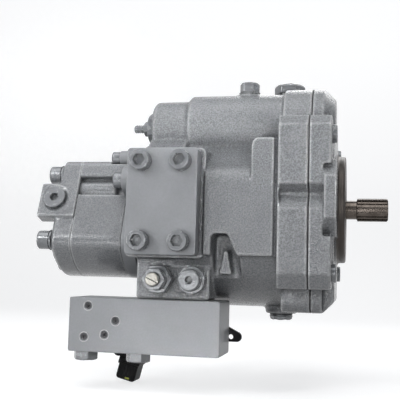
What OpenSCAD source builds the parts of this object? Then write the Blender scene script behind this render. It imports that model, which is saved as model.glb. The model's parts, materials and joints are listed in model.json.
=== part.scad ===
// Variable axial piston pump with a gear pump behind it.
// The origin is the centre of the mounting face, on the shaft axis.
// +X points out of the shaft end, +Z is up, and the suction port faces -Y.

/* [Drive shaft] */
// Reach of the shaft end from the mounting face
shaft_reach = 45.5; // [40:0.5:60]
// Length of the spline
spline_len = 29; // [20:0.5:32]
// Outer diameter of the spline
spline_d = 21.8; // [19.5:0.1:24]
// Number of spline teeth
spline_teeth = 13; // [9:1:17]
// Depth of the spline grooves
spline_depth = 1.6; // [0.8:0.1:2]
// Diameter of the neck behind the spline
neck_d = 18; // [15:0.5:18.5]
// Diameter of the shaft under the seal
seal_journal_d = 25; // [22:0.5:28]
// Diameter of the shaft through the swash plate and barrel
shaft_d = 26; // [22:0.5:28]

/* [Bearings] */
// Outer diameter of the front bearing
front_bearing_od = 62; // [56:1:72]
// Bore of the front bearing
front_bearing_id = 30; // [28.5:0.5:34]
// Width of the front bearing
front_bearing_w = 16; // [12:0.5:16]
// Outer diameter of the rear bearing
rear_bearing_od = 47; // [42:1:50]
// Bore of the rear bearing
rear_bearing_id = 20; // [19:0.5:22]
// Width of the rear bearing
rear_bearing_w = 14; // [10:0.5:16]
// Balls in each bearing
bearing_balls = 9; // [7:1:9]

/* [Mounting flange] */
// Diameter of the pilot
pilot_d = 101.6; // [96:0.1:110]
// Height of the pilot
pilot_h = 6.5; // [6:0.5:8.5]
// Spacing of the two ear holes
ear_spacing = 146; // [142:0.5:152]
// Diameter of the ear holes
ear_hole_d = 14.3; // [10:0.1:16]
// Span of the ears from tip to tip
ear_span = 190; // [182:1:200]
// Height of an ear at its tip
ear_tip = 35; // [28:1:40]
// Height of an ear at its root
ear_root = 66; // [56:1:72]
// Thickness of an ear
ear_t = 10.5; // [8:0.5:12]

/* [Front cover] */
// Thickness of the front cover behind the mounting face
cover_t = 23; // [21:0.5:28]
// Drop of the screw lobes behind the mounting face
lobe_drop = 4; // [3:0.5:6]
// Drop of the round core behind the mounting face
core_drop = 2.5; // [0:0.5:3]
// Thickness of the cover gasket
gasket_t = 0.8; // [0.4:0.1:1.5]
// Spacing of the cover screws across the pump
cover_screw_y = 140; // [136:1:144]
// Spacing of the cover screws up the pump
cover_screw_z = 122; // [116:1:126]
// Diameter of the cover screws
cover_screw_d = 10; // [8:1:12]

/* [Housing] */
// Thickness of the housing rim behind the cover
rim_t = 26; // [20:0.5:32]
// Diameter of the round core of the rim and cover
core_d = 168; // [160:1:172]
// Width of the rim over its screw lobes
lobe_span = 184; // [178:1:188]
// Outer diameter of the housing barrel
housing_d = 188; // [182:1:194]
// Diameter of the cavity
cavity_d = 120; // [116:0.5:122]
// Thickness of the rear wall
rear_wall = 41; // [38:0.5:46]
// Diameter of the rear block that carries the ports
rear_block_d = 150; // [146:1:160]

/* [Swash plate] */
// Largest swash angle in degrees
tilt_max = 17; // [10:0.5:17]
// Radius of the cradle bed about the tilt axis
bed_r = 30; // [29:0.5:32]
// Thickness of the cradle behind its bed
cradle_base = 5; // [4:0.5:8]
// Thickness of the bearing liners
liner_t = 1.5; // [1:0.1:2]
// Thickness of the running disc
disc_t = 8; // [6:0.5:9]
// Diameter of the running disc
disc_d = 100; // [97:1:102]
// Distance from a shoe's face to its ball centre
shoe_h = 8; // [7.5:0.5:9]

/* [Rotating group] */
// Number of pistons
piston_n = 9; // [7:2:9]
// Diameter of the pistons
piston_d = 18; // [15:0.5:19]
// Radius of the piston circle
pitch_r = 36; // [35:0.5:37]
// Length of a piston from its ball centre
piston_len = 56; // [48:1:58]
// Distance from the ball centres to the barrel
barrel_gap = 20; // [19:0.5:24]
// Length of the cylinder barrel
barrel_len = 62; // [60:1:70]
// Diameter of the cylinder barrel
barrel_d = 104; // [100:1:108]
// Thickness of the valve plate
valve_plate_t = 6; // [4:0.5:8]

/* [Servo cylinder] */
// Distance of the servo axis in front of the shaft axis
servo_front = 20; // [17:0.5:23]
// Height of the servo axis above the shaft axis
servo_z = 77; // [76:0.5:80]
// Outer diameter of the servo cylinder
servo_d = 62; // [56:1:64]
// Outer diameter of the servo cylinder's rear part
servo_rear_d = 52; // [46:1:54]
// Diameter of the control piston
control_d = 30; // [28:0.5:31]
// Length of the control piston behind its arm slot
control_rear = 30; // [24:1:34]
// Diameter of the stroke limiter stud
limiter_d = 8; // [6:1:10]
// Reach of the limiter stud behind the rear block
limiter_reach = 23; // [20:0.5:30]

/* [Suction port] */
// Distance of the port centre in front of the housing's rear face
port_setback = 37; // [36:0.5:40]
// Width of the suction plate
plate_w = 64; // [58:1:66]
// Height of the suction plate
plate_h = 94; // [90:1:98]
// Thickness of the suction plate
plate_t = 15; // [12:0.5:20]
// Distance of the port faces from the shaft axis
port_y = 85; // [82:0.5:90]
// Screw spacing across the suction plate
plate_screw_x = 35.7; // [34:0.1:38]
// Screw spacing up the suction plate
plate_screw_z = 69.9; // [66:0.1:72]
// Diameter of the suction plate screws
plate_screw_d = 12; // [10:1:12]
// Bore of the delivery port
delivery_d = 25; // [20:0.5:26]
// Screw spacing across the delivery port
delivery_screw_x = 52.4; // [50:0.1:54]
// Screw spacing up the delivery port
delivery_screw_z = 26.2; // [25:0.1:30]
// Diameter of the delivery port's screw holes
delivery_screw_d = 10; // [8:0.5:10]

/* [Valves] */
// Distance of the valve boss face from the shaft axis
valve_y = 75; // [72:0.5:78]
// Depth of the valve axes below the shaft axis
valve_drop = 70; // [68:0.5:71]
// Distance from the relief valve to the port centre
relief_back = 5; // [2:0.5:7]
// Distance from the valve plug to the relief valve
plug_pitch = 31; // [29:0.5:33]
// Size of the relief valve's hex body across flats
relief_af = 24; // [22:0.5:26]
// Diameter of the relief adjuster
adjuster_d = 12; // [10:0.5:13]
// Diameter of the valve plug's head
valve_plug_d = 19; // [16:0.5:20]

/* [Gear pump] */
// Roll of the gear pump about the shaft axis
gear_roll = 20; // [17:1:24]
// Module of the gear teeth
gear_m = 2.5; // [2.4:0.05:2.6]
// Teeth of each gear
gear_teeth = 12; // [12:2:12]
// Width of the gears
gear_w = 20; // [18:0.5:24]
// Length of a bearing block
block_len = 13.5; // [12:0.5:16]
// Diameter of the gear journals
journal_d = 16; // [14:0.5:17]
// Thickness of the adapter
adapter_t = 13; // [12:0.5:18]
// Thickness of the gear pump cover
gear_cover_t = 21; // [19:0.5:24]
// Half width of the gear body over its flats
gear_half_w = 40.5; // [39:0.5:42]
// Radius of the gear body's rounded foot
foot_r = 58; // [56:0.5:62]
// Radius of the corners between the flats and the foot
foot_corner_r = 16; // [14:0.5:18]
// Diameter of the gear pump screws
gear_screw_d = 12; // [10:1:12]
// Spacing of the gear pump screws across the flats
gear_screw_n = 58.5; // [57:0.5:60]
// Distance of the upper gear pump screws past the drive gear's centre
gear_screw_top = 22; // [21:0.5:23]
// Distance of the lower gear pump screws past the driven gear's centre
gear_screw_foot = 18.5; // [17.5:0.5:19]
// Roll of the gear pump's flange screws
flange_roll = 25; // [23:1:27]
// Spacing of the flange screws of the gear pump
flange_screw_n = 106.4; // [104:0.2:108]
// Diameter of the flange screws of the gear pump
flange_screw_d = 10; // [8:1:10]

/* [Manifold] */
// Length of the manifold block
manifold_l = 138; // [130:1:146]
// Height of the manifold block
manifold_h = 48; // [46:0.5:54]
// Depth of the manifold block
manifold_w = 50; // [47:0.5:54]
// Distance of the block's right end in front of the port centre
manifold_lead = 52; // [48:0.5:56]
// Width of the solenoid coil
coil_w = 40; // [36:0.5:42]
// Length of the solenoid coil
coil_l = 42; // [36:0.5:50]

/* [Hidden] */
$fn = 64;

// Clearances: sliding fits, running fits, threads and screws in clearance holes
slide_gap = 0.03;
run_gap = 0.05;
thread_gap = 0.02;
hole_gap = 0.5;
film = 0.05;
cut = 1;

// Stations along the shaft axis, from the mounting face to the rear
x_split = -cover_t;
x_front = x_split - gasket_t;
x_rim = x_front - rim_t;
x_tilt = x_split - cradle_base - bed_r;
x_face = x_tilt + shoe_h;
x_disc = x_face + disc_t;
x_tip = x_face + disc_t / 2;
x_barrel = x_tilt - barrel_gap;
x_barrel_back = x_barrel - barrel_len;
x_valve = x_barrel_back - film - valve_plate_t;
x_rear = x_valve - rear_wall;
x_port = x_rear + port_setback;
spigot_len = 10;
x_block = x_rear + spigot_len;
x_step = x_valve + 4;

// Bearings on the shaft
front_bearing_x = -6;
ball_share = 0.3;
rear_bearing_gap = 4;
x_rear_bearing = x_valve - rear_bearing_gap;

// Servo cylinder
servo_y = -servo_front;
servo_r = servo_d / 2;
arm_w = 12;
arm_pin_r = 6;
arm_play = 0.6;
arm_radius = servo_z;
travel = arm_radius * tilt_max * PI / 180;
x_control = x_tip - control_rear;
control_front = 20;
limiter_play = 0.4;
x_limiter = x_control - travel - limiter_play;
x_servo_end = x_control - travel - 12;
pocket_r = 10.5;
pocket_wall = 4.5;
spring_seat = 16;

// Port faces and the valve boss
port_z = -2;
boss_edge = 4;
delivery_edge = 10;
delivery_pad = 22;
valve_z = -valve_drop;
valve_boss_half = 33.5;
valve_boss_x = x_port + 6.5;
valve_boss_bottom = valve_z - 18;
x_relief = x_port - relief_back;
x_plug = x_relief + plug_pitch;

// Gear pump: local axes are n, square to its flats, and t, from the drive gear to the driven gear
pitch_gear_r = gear_m * gear_teeth / 2;
gear_centres = 2 * pitch_gear_r;
gear_addendum = 0.9 * gear_m;
gear_dedendum = 1.15 * gear_m;
gear_tip_r = pitch_gear_r + gear_addendum;
gear_bore_r = gear_tip_r + run_gap;
gear_pressure = 27;
gear_backlash = 0.3;
gear_end_wall = 3;
x_adapter = x_rear - adapter_t;
x_gear_wall = x_adapter - gear_end_wall;
x_gear_front = x_gear_wall - block_len;
x_gear_back = x_gear_front - gear_w;
x_gear_cover = x_gear_back - block_len;
x_gear_end = x_gear_cover - gear_cover_t;
gear_core_r = gear_bore_r + 12;
gear_bar_out = gear_screw_top + 11.5;
gear_bar_in = gear_screw_top - 7.5;
gear_bar_round = 7;
gear_bar_edge = 2.5;
gear_washer_t = 2.5;
foot_start = 4;
web_r = 10.5;
web_n = gear_half_w - web_r - 2;
web_t = (foot_start - gear_bar_in) / 2;
web_clear = flange_screw_d + 3;
foot_centre = gear_centres / 2 - 2;
foot_corner_n = gear_half_w - foot_corner_r;
foot_corner_t = foot_centre + sqrt(pow(foot_r - foot_corner_r, 2) - pow(foot_corner_n, 2));
plug_boss_n = gear_half_w + 2;
plug_boss_t = gear_centres / 2 - 4;
plug_boss_half = 18;
plug_boss_back = 17;
plug_boss_depth = 15.5;
gear_port_depth = 12;
x_gear_port = x_gear_end - 1;
gear_port_t = plug_boss_t - 1.5;
gear_plug_d = 22;
gear_plug_head = 3;
gear_plug_hex = 8;
flange_ear_r = 13;
lift_screw = [41.7, -32.6];
lift_screw_d = 8;
lift_ear = 12;
lift_ear_r = 7.5;
lift_room = 0.8;

// Manifold block under the valve boss
manifold_x1 = x_port + manifold_lead;
manifold_x0 = manifold_x1 - manifold_l;
manifold_y0 = -port_y;
manifold_y1 = manifold_y0 + manifold_w;
manifold_z1 = valve_boss_bottom;
manifold_z0 = manifold_z1 - manifold_h;
coil_x = manifold_x0 + 30;
coil_z = manifold_z0 + 17.5;
coil_stand = 5;
coil_y0 = manifold_y1 + coil_stand;
coil_y1 = coil_y0 + coil_l;
clip_x = manifold_x1 + 1.5;
clip_z = (manifold_z0 + manifold_z1) / 2 - 9.5;
clip_tail = 12;
clip_screw_d = 5;
clip_thread = 10;

// Finishes
paint = [0.56, 0.57, 0.585];
paint_smooth = [0.6, 0.615, 0.63];
steel = [0.62, 0.6, 0.58];
dark_steel = [0.33, 0.3, 0.28];
bronze = [0.72, 0.53, 0.3];
rubber = [0.06, 0.06, 0.065];
plastic = [0.045, 0.045, 0.05];
zinc = [0.82, 0.8, 0.74];

// Placing helpers

// Round bar along X
module rod_x(x0, x1, r, y = 0, z = 0) {
    translate([x0, y, z]) rotate([0, 90, 0]) cylinder(h = x1 - x0, r = r);
}

// Round bar along Y
module rod_y(y0, y1, r, x = 0, z = 0) {
    translate([x, y0, z]) rotate([-90, 0, 0]) cylinder(h = y1 - y0, r = r);
}

// Round bar along Z
module rod_z(z0, z1, r, x = 0, y = 0) {
    translate([x, y, z0]) cylinder(h = z1 - z0, r = r);
}

// Block between two corners
module block(low, high) {
    translate(low) cube(high - low);
}

// Outline in Y and Z, drawn out along X
module prism_x(x0, x1) {
    translate([x0, 0, 0]) rotate([90, 0, 90]) linear_extrude(x1 - x0) children();
}

// Outline in X and Z, drawn out along Y
module prism_y(y0, y1) {
    translate([0, y1, 0]) rotate([90, 0, 0]) linear_extrude(y1 - y0) children();
}

// Profile of [station, radius] points turned about the X axis
module turned_x(profile) {
    rotate([0, 90, 0]) rotate_extrude() polygon([for (p = profile) [p[1], p[0]]]);
}

// Children drawn along +Z turned to point along +X, -X, -Y, +Y or -Z
module facing_right(x, y, z) {
    translate([x, y, z]) rotate([0, 90, 0]) children();
}
module facing_left(x, y, z) {
    translate([x, y, z]) rotate([0, -90, 0]) children();
}
module facing_front(x, y, z) {
    translate([x, y, z]) rotate([90, 0, 0]) children();
}
module facing_back(x, y, z) {
    translate([x, y, z]) rotate([-90, 0, 0]) children();
}
module facing_down(x, y, z) {
    translate([x, y, z]) rotate([180, 0, 0]) children();
}

// The gear pump's own axes: X becomes n and Y becomes t in the YZ plane
module gear_frame() {
    rotate(180 - gear_roll) children();
}

// A point given in the gear pump's axes, in the YZ plane
function gear_point(n, t) = [
    n * cos(180 - gear_roll) - t * sin(180 - gear_roll),
    n * sin(180 - gear_roll) + t * cos(180 - gear_roll)
];

// The same for the flange of the gear pump, which is turned a little further
module flange_frame() {
    rotate(180 - flange_roll) children();
}
function flange_point(n, t) = [
    n * cos(180 - flange_roll) - t * sin(180 - flange_roll),
    n * sin(180 - flange_roll) + t * cos(180 - flange_roll)
];

// Shared shapes

// Rectangle with round corners
module rounded_rect(x0, x1, y0, y1, r) {
    translate([x0 + r, y0]) square([x1 - x0 - 2 * r, y1 - y0]);
    translate([x0, y0 + r]) square([x1 - x0, y1 - y0 - 2 * r]);
    for (x = [x0 + r, x1 - r], y = [y0 + r, y1 - r]) translate([x, y]) circle(r = r);
}

// Hole drilled down from the origin, and a screwed shank that goes into one
module drilled(depth, r) {
    translate([0, 0, -depth]) cylinder(h = depth + cut, r = r);
}
module threaded(depth, r) {
    translate([0, 0, 2 - depth]) cylinder(h = depth, r = r - thread_gap);
}

// Hexagonal prism, sized across its flats
module hex_prism(af, h) {
    cylinder(h = h, r = af / sqrt(3), $fn = 6);
}

// Hexagon with its corners turned off at the top
module hex_head(af, h) {
    corner = af / sqrt(3);
    intersection() {
        hex_prism(af, h);
        union() {
            cylinder(h = h - (corner - af / 2) * 0.6, r = corner + cut);
            translate([0, 0, h - (corner - af / 2) * 0.6])
                cylinder(h = (corner - af / 2) * 0.6, r1 = corner, r2 = af / 2 * 0.97);
        }
    }
}

// Socket screw along +Z, with its head's seat at zero
module cap_screw(d, shank, head_d, head_h) {
    edge = d * 0.07;
    difference() {
        union() {
            rotate_extrude()
                polygon([[0, 0], [head_d / 2, 0], [head_d / 2, head_h - edge], [head_d / 2 - edge, head_h],
                         [0, head_h]]);
            translate([0, 0, -shank]) cylinder(h = shank + cut, r = d / 2 - thread_gap);
        }
        translate([0, 0, head_h - d * 0.5]) hex_prism(d * 0.8, d);
    }
}

// Ring with a rectangular section along X
module ring_x(x0, x1, r_in, r_out) {
    difference() {
        rod_x(x0, x1, r_out);
        rod_x(x0 - cut, x1 + cut, r_in);
    }
}

// Points of one ring of a coil, at a turn angle
function coil_ring(a, r, wire, rise, sides) = [
    for (k = [0 : sides - 1])
        let (b = 360 * k / sides, rr = r + wire * cos(b))
        [rise * a / 360 + wire * sin(b), rr * cos(a), rr * sin(a)]
];

// Coil spring along X between two stations
module coil_spring(x0, x1, r, wire, turns) {
    steps = 14;
    sides = 6;
    rise = (x1 - x0 - 2 * wire) / turns;
    last = turns * steps;
    points = [for (i = [0 : last]) each coil_ring(360 * i / steps, r, wire, rise, sides)];
    walls = [
        for (i = [0 : last - 1], k = [0 : sides - 1])
            let (a = i * sides + k, b = i * sides + (k + 1) % sides)
            each [[a, b, b + sides], [a, b + sides, a + sides]]
    ];
    first_cap = [for (k = [1 : sides - 2]) [0, k + 1, k]];
    last_cap = [for (k = [1 : sides - 2]) [last * sides, last * sides + k, last * sides + k + 1]];
    translate([x0 + wire, 0, 0]) polyhedron(points, concat(walls, first_cap, last_cap));
}

// Outline shared by the housing rim, the gasket and the front cover
lobe_half = lobe_span / 2;
cover_boss_r = 13.5;
servo_lobe_r = 35;
servo_edge = 3;
bottom_lobe_half = 50;
bottom_lobe_z = -97;
bottom_lobe_round = 10;
lobe_depth = 42;
upper_lobe = [8, 75];
upper_lobe_cut = [7, 9];
lower_lobe = [-75, 4];
lower_lobe_cut = [13, 11];
lobe_cut = 8;
module front_lobe(z, slope) {
    polygon([[-lobe_half + lobe_cut, z[0]], [-lobe_half, z[0] + slope[0]], [-lobe_half, z[1] - slope[1]],
             [-lobe_half + lobe_cut, z[1]], [-lobe_half + lobe_depth, z[1]], [-lobe_half + lobe_depth, z[0]]]);
}
module front_lobes() {
    for (side = [0, 1]) mirror([side, 0]) {
        front_lobe(upper_lobe, upper_lobe_cut);
        front_lobe(lower_lobe, lower_lobe_cut);
        for (z = [-1, 1]) translate([-cover_screw_y / 2, z * cover_screw_z / 2]) circle(r = cover_boss_r);
    }
}
module servo_lobe(r) {
    translate([servo_y, servo_z]) circle(r = r);
}
module bottom_lobe() {
    rounded_rect(-bottom_lobe_half, bottom_lobe_half, bottom_lobe_z, 0, bottom_lobe_round);
}
module flange_outline() {
    circle(r = core_d / 2, $fn = 96);
    front_lobes();
    servo_lobe(servo_lobe_r);
    bottom_lobe();
}

// Places of the four cover screws, as children along +X
module at_cover_screws(x) {
    for (y = [-1, 1], z = [-1, 1])
        facing_right(x, y * cover_screw_y / 2, z * cover_screw_z / 2) children();
}

// Places of the four suction plate screws, as children along -Y
module at_plate_screws(y) {
    for (x = [-1, 1], z = [-1, 1])
        facing_front(x_port + x * plate_screw_x / 2, y, port_z + z * plate_screw_z / 2) children();
}

// Places of the four delivery port screws, as children along +Y
module at_delivery_screws(y) {
    for (x = [-1, 1], z = [-1, 1])
        facing_back(x_port + x * delivery_screw_x / 2, y, port_z + z * delivery_screw_z / 2) children();
}

// Places of the four gear pump screws, as children along -X
module at_gear_screws(x) {
    for (n = [-1, 1], t = [-gear_screw_top, gear_centres + gear_screw_foot]) {
        p = gear_point(n * gear_screw_n / 2, t);
        facing_left(x, p[0], p[1]) children();
    }
}

// Housing casting
panel_y = -90;
panel_top = 25;
panel_bottom = -48;
slope_top = [-40, 57];
slope_round = 24;
pad_x = [x_rim - 23, x_rim + cut];
pad_y = panel_y;
pad_z = [panel_top - 20, panel_top + 30];
pad_round = 6;
boss_round = 5;
valve_boss_rise = 24;
valve_boss_round = 3;
rim_groove_w = 3.5;
rim_groove_depth = 3;
case_plug_x = x_rim + 0.5;
case_plug_y = 8;
case_boss_top = 112;
bleed_x = x_port + 64.5;
bleed_boss_top = servo_z + servo_r + 0.6;
drain_x = x_rim - 4;
drain_boss_bottom = -100;
top_boss_r = 18;
bleed_boss_r = 12;
drain_boss_r = 15;
delivery_half_x = delivery_screw_x / 2 + delivery_edge;
delivery_half_z = delivery_screw_z / 2 + delivery_pad;

// Round barrel with its flat front panel and the slope up to the servo cylinder
module barrel_outline() {
    corner = [panel_y, panel_top];
    up = (slope_top - corner) / norm(slope_top - corner);
    reach = 40;
    turn = acos(-up[1]) / 2;
    tangent = slope_round / tan(turn);
    centre = corner + (up + [0, -1]) / norm(up + [0, -1]) * slope_round / sin(turn);
    difference() {
        union() {
            intersection() {
                circle(r = housing_d / 2, $fn = 96);
                translate([panel_y, -housing_d]) square([-panel_y + housing_d, 2 * housing_d]);
            }
            translate([panel_y, panel_bottom]) square([-panel_y, panel_top - panel_bottom]);
        }
        polygon([slope_top, corner - reach * up, [panel_y - reach, housing_d], [slope_top[0], housing_d]]);
        difference() {
            polygon([corner + tangent * up, corner + 0.2 * (corner - centre), corner - [0, tangent]]);
            translate(centre) circle(r = slope_round, $fn = 96);
        }
    }
}

// Hollow beside the port boss, with a sloping far side
pocket_x = x_port + plate_w / 2 + 11;
pocket_top = -29;
pocket_w = 16;
pocket_foot = 24;
pocket_round = 4;
pocket_floor = -66;
rib_foot = [6, 17];
rib_tip = [10, 13];
rib_low = 35;
rib_high = 14;
rib_proud = 12;
module front_pocket() {
    prism_y(-housing_d, pocket_floor) {
        polygon([[pocket_x, pocket_top - pocket_round], [pocket_x + pocket_w, pocket_top - pocket_round],
                 [pocket_x + pocket_foot, panel_bottom - 1], [pocket_x + pocket_foot, -housing_d / 2],
                 [pocket_x, -housing_d / 2]]);
        rounded_rect(pocket_x, pocket_x + pocket_w, pocket_top - 3 * pocket_round, pocket_top, pocket_round);
    }
}

// Small rib standing in the hollow
module pocket_rib() {
    prism_y(pocket_floor - rib_proud, pocket_floor + cut) translate([pocket_x, pocket_top])
        polygon([[rib_foot[0], -rib_low], [rib_foot[1], -rib_low],
                 [rib_tip[1], -rib_high], [rib_tip[0], -rib_high]]);
}

// Part of the servo cylinder, with its rear edge turned off
module servo_barrel(x0, x1, r) {
    translate([0, servo_y, servo_z])
        turned_x([[x0, 0], [x0, r - servo_edge], [x0 + servo_edge, r], [x1, r], [x1, 0]]);
}

module housing_castings() {
    prism_x(x_rim, x_front) flange_outline();
    prism_x(x_step, x_rim + cut) barrel_outline();
    rod_x(x_block, x_step + cut, rear_block_d / 2);
    rod_x(x_rear, x_block + cut, flange_screw_n / 2 + flange_screw_d);
    servo_barrel(x_step, x_rim + cut, servo_r);
    servo_barrel(x_block, x_step + cut, servo_rear_d / 2);
    prism_x(x_block, x_rim) translate([servo_y - servo_rear_d / 4, 0]) square([servo_rear_d / 2, servo_z]);
    prism_y(-port_y, 0)
        rounded_rect(x_port - plate_w / 2 - boss_edge, x_port + plate_w / 2 + boss_edge,
                     port_z - plate_h / 2 - boss_edge / 2, port_z + plate_h / 2 + boss_edge / 2, boss_round);
    prism_y(0, port_y)
        rounded_rect(x_port - delivery_half_x, x_port + delivery_half_x,
                     port_z - delivery_half_z, port_z + delivery_half_z, delivery_edge);
    prism_y(-valve_y, 0)
        rounded_rect(valve_boss_x - valve_boss_half, valve_boss_x + valve_boss_half,
                     valve_boss_bottom, valve_z + valve_boss_rise, valve_boss_round);
    prism_y(pad_y, 0) rounded_rect(pad_x[0], pad_x[1], pad_z[0], pad_z[1], pad_round);
    rod_z(0, case_boss_top, top_boss_r, case_plug_x, case_plug_y);
    rod_z(servo_z, bleed_boss_top, bleed_boss_r, bleed_x, servo_y);
    rod_z(drain_boss_bottom, 0, drain_boss_r, drain_x, 0);
}

// Arc-shaped port along X
kidney_turn = 120;
kidney_depth = 8;
module kidney_x(x0, x1, side) {
    translate([x0, 0, 0]) rotate([0, 90, 0]) rotate([0, 0, 90 - side * 90 + (180 - kidney_turn) / 2])
        rotate_extrude(angle = kidney_turn)
        translate([pitch_r - piston_d / 4, 0]) square([piston_d / 2, x1 - x0]);
}

passage_r = 10;
arm_room = 6;
passage_x = x_valve - 14;
suction_bore_r = 19;
port_depth = 10;
delivery_thread = 18;
module housing_passages() {
    rod_x(x_valve, x_front + cut, cavity_d / 2);
    rod_x(x_rear_bearing - rear_bearing_w, x_valve + cut, rear_bearing_od / 2);
    rod_x(x_rear - cut, x_valve, sleeve_r + 2);
    for (s = [-1, 1]) kidney_x(x_valve - kidney_depth, x_valve + cut, s);
    rod_y(-port_y - cut, -port_y + port_depth, suction_bore_r, x_port, port_z);
    rod_y(-port_y + port_depth - cut, -pitch_r, passage_r, passage_x, port_z);
    rod_y(port_y - port_depth, port_y + cut, delivery_d / 2, x_port, port_z);
    rod_y(pitch_r, port_y - port_depth + cut, passage_r, passage_x, port_z);
    block([x_port - plate_w, -housing_d, port_z - plate_h / 2 - boss_edge],
          [x_port + plate_w / 2 + boss_edge, -port_y, port_z + plate_h / 2 + boss_edge]);
    block([x_port - plate_w, port_y, port_z - delivery_half_z],
          [x_port + delivery_half_x, housing_d, port_z + delivery_half_z]);
    block([x_rim - rim_groove_w, -housing_d, panel_bottom - cut],
          [x_rim, panel_y + rim_groove_depth, pad_z[1] + cut]);
    rod_x(x_servo_end, x_front + cut, control_d / 2, servo_y, servo_z);
    rod_x(x_block - cut, x_servo_end + cut, limiter_d / 2 + 2, servo_y, servo_z);
    rod_x(x_block - cut, x_block + limiter_thread, limiter_cap_r, servo_y, servo_z);
    block([x_tip - travel - arm_pin_r - arm_room, servo_y - arm_w / 2 - 2, cavity_d / 3],
          [x_tip + arm_pin_r + arm_room, servo_y + arm_w / 2 + 2, servo_z]);
    at_cover_screws(x_front + cut) facing_down(0, 0, 0)
        cylinder(h = cover_thread + cut, r = cover_screw_d / 2);
    at_plate_screws(-port_y) translate([0, 0, -plate_thread]) cylinder(h = plate_thread + cut,
                                                                        r = plate_screw_d / 2);
    at_delivery_screws(port_y - delivery_thread)
        cylinder(h = delivery_thread + cut, r = delivery_screw_d / 2);
    facing_front(x_relief, -valve_y, valve_z) drilled(relief_depth, relief_cartridge_r);
    facing_front(x_plug, -valve_y, valve_z) drilled(valve_plug_depth, valve_plug_thread_r);
    rod_z(case_boss_top - plug_thread, case_boss_top + cut, case_thread_r, case_plug_x, case_plug_y);
    rod_z(bleed_boss_top - plug_thread, bleed_boss_top + cut, bleed_thread_r, bleed_x, servo_y);
    rod_z(drain_boss_bottom - cut, drain_boss_bottom + plug_thread, drain_thread_r, drain_x, 0);
    at_mount_screws() drilled(mount_shank, flange_screw_d / 2);
    at_lift_screw() drilled(mount_shank, lift_screw_d / 2);
    at_manifold_screws(manifold_z1) drilled(manifold_thread, manifold_screw_d / 2);
}

module pump_housing() {
    color(paint) {
        difference() {
            housing_castings();
            front_pocket();
            housing_passages();
        }
        pocket_rib();
    }
}

// Front cover with the pilot and the mounting ears
cover_thread = 22;
cover_head_h = 10;
cover_head_r = 8;
cover_head_room = 3;
chamfer = 13;
pilot_edge = 1;
ear_lift = 3.5;
ear_hole_depth = 18;
lobe_notch = [-30, 32];
lobe_notch_drop = ear_t + 0.5;
seal_w = 8;
seal_r = 22.5;
seal_wall = 3;
seal_lip = 3;
seal_edge = 0.6;
ring_in = 3;
ring_gap = 5;
ring_lug = 8;
ring_w = 1.5;
ring_r = 24;
seal_x = -4;
servo_pocket_r = 12;

// Both mounting ears, with flat tips
module ear_outline() {
    root = core_d / 2 - 3;
    for (side = [0, 1]) mirror([side, 0])
        polygon([[-ear_span / 2, ear_lift - ear_tip / 2], [-ear_span / 2, ear_lift + ear_tip / 2],
                 [-root, ear_lift + ear_root / 2], [0, ear_lift + ear_root / 2],
                 [0, ear_lift - ear_root / 2], [-root, ear_lift - ear_root / 2]]);
}
module front_cover() {
    color(paint) difference() {
        union() {
            prism_x(x_split, -lobe_notch_drop) front_lobes();
            prism_x(x_split, -lobe_drop) difference() {
                front_lobes();
                translate([-lobe_span, lobe_notch[0]]) square([2 * lobe_span, lobe_notch[1] - lobe_notch[0]]);
            }
            rod_x(x_split, -core_drop, core_d / 2);
            prism_x(x_split, -chamfer) {
                servo_lobe(servo_lobe_r);
                bottom_lobe();
            }
            facing_right(-chamfer, servo_y, servo_z)
                cylinder(h = chamfer - core_drop, r1 = servo_lobe_r, r2 = servo_lobe_r - chamfer + core_drop);
            prism_y(-bottom_lobe_half + bottom_lobe_round, bottom_lobe_half - bottom_lobe_round)
                polygon([[-chamfer - cut, bottom_lobe_z + cut], [-chamfer, bottom_lobe_z],
                         [-core_drop, bottom_lobe_z + chamfer - core_drop],
                         [-core_drop, 0], [-chamfer - cut, 0]]);
            prism_x(-ear_t, 0) ear_outline();
            turned_x([[-core_drop - cut, 0], [-core_drop - cut, pilot_d / 2 + core_drop + 1],
                      [-core_drop, pilot_d / 2 + core_drop + 1], [0, pilot_d / 2],
                      [pilot_h - pilot_edge, pilot_d / 2],
                      [pilot_h, pilot_d / 2 - pilot_edge], [pilot_h, 0]]);
        }
        rod_x(x_split - cut, front_bearing_x, front_bearing_od / 2);
        rod_x(front_bearing_x - cut, seal_x, seal_journal_d / 2 + 4);
        rod_x(seal_x, pilot_h + cut, seal_r);
        rod_x(seal_x + seal_w, seal_x + seal_w + ring_w, ring_r);
        rod_x(x_split - cut, x_split + spring_seat, servo_pocket_r, servo_y, servo_z);
        at_cover_screws(-cover_head_h) {
            cylinder(h = cover_head_h + cut, r = cover_head_r + cover_head_room);
            drilled(cover_t, cover_screw_d / 2 + hole_gap);
        }
        for (y = [-1, 1]) rod_x(-ear_hole_depth, cut, ear_hole_d / 2, y * ear_spacing / 2);
    }
}

module cover_gasket() {
    color(rubber) prism_x(x_front, x_split) difference() {
        flange_outline();
        circle(r = cavity_d / 2);
        servo_lobe(control_d / 2);
        for (y = [-1, 1], z = [-1, 1]) translate([y * cover_screw_y / 2, z * cover_screw_z / 2])
            circle(r = cover_screw_d / 2 + hole_gap);
    }
}

module cover_screws() {
    color(paint_smooth) at_cover_screws(-cover_head_h)
        cap_screw(cover_screw_d, cover_t - cover_head_h + gasket_t + cover_thread - 2, 2 * cover_head_r,
                  cover_head_h);
}

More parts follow.
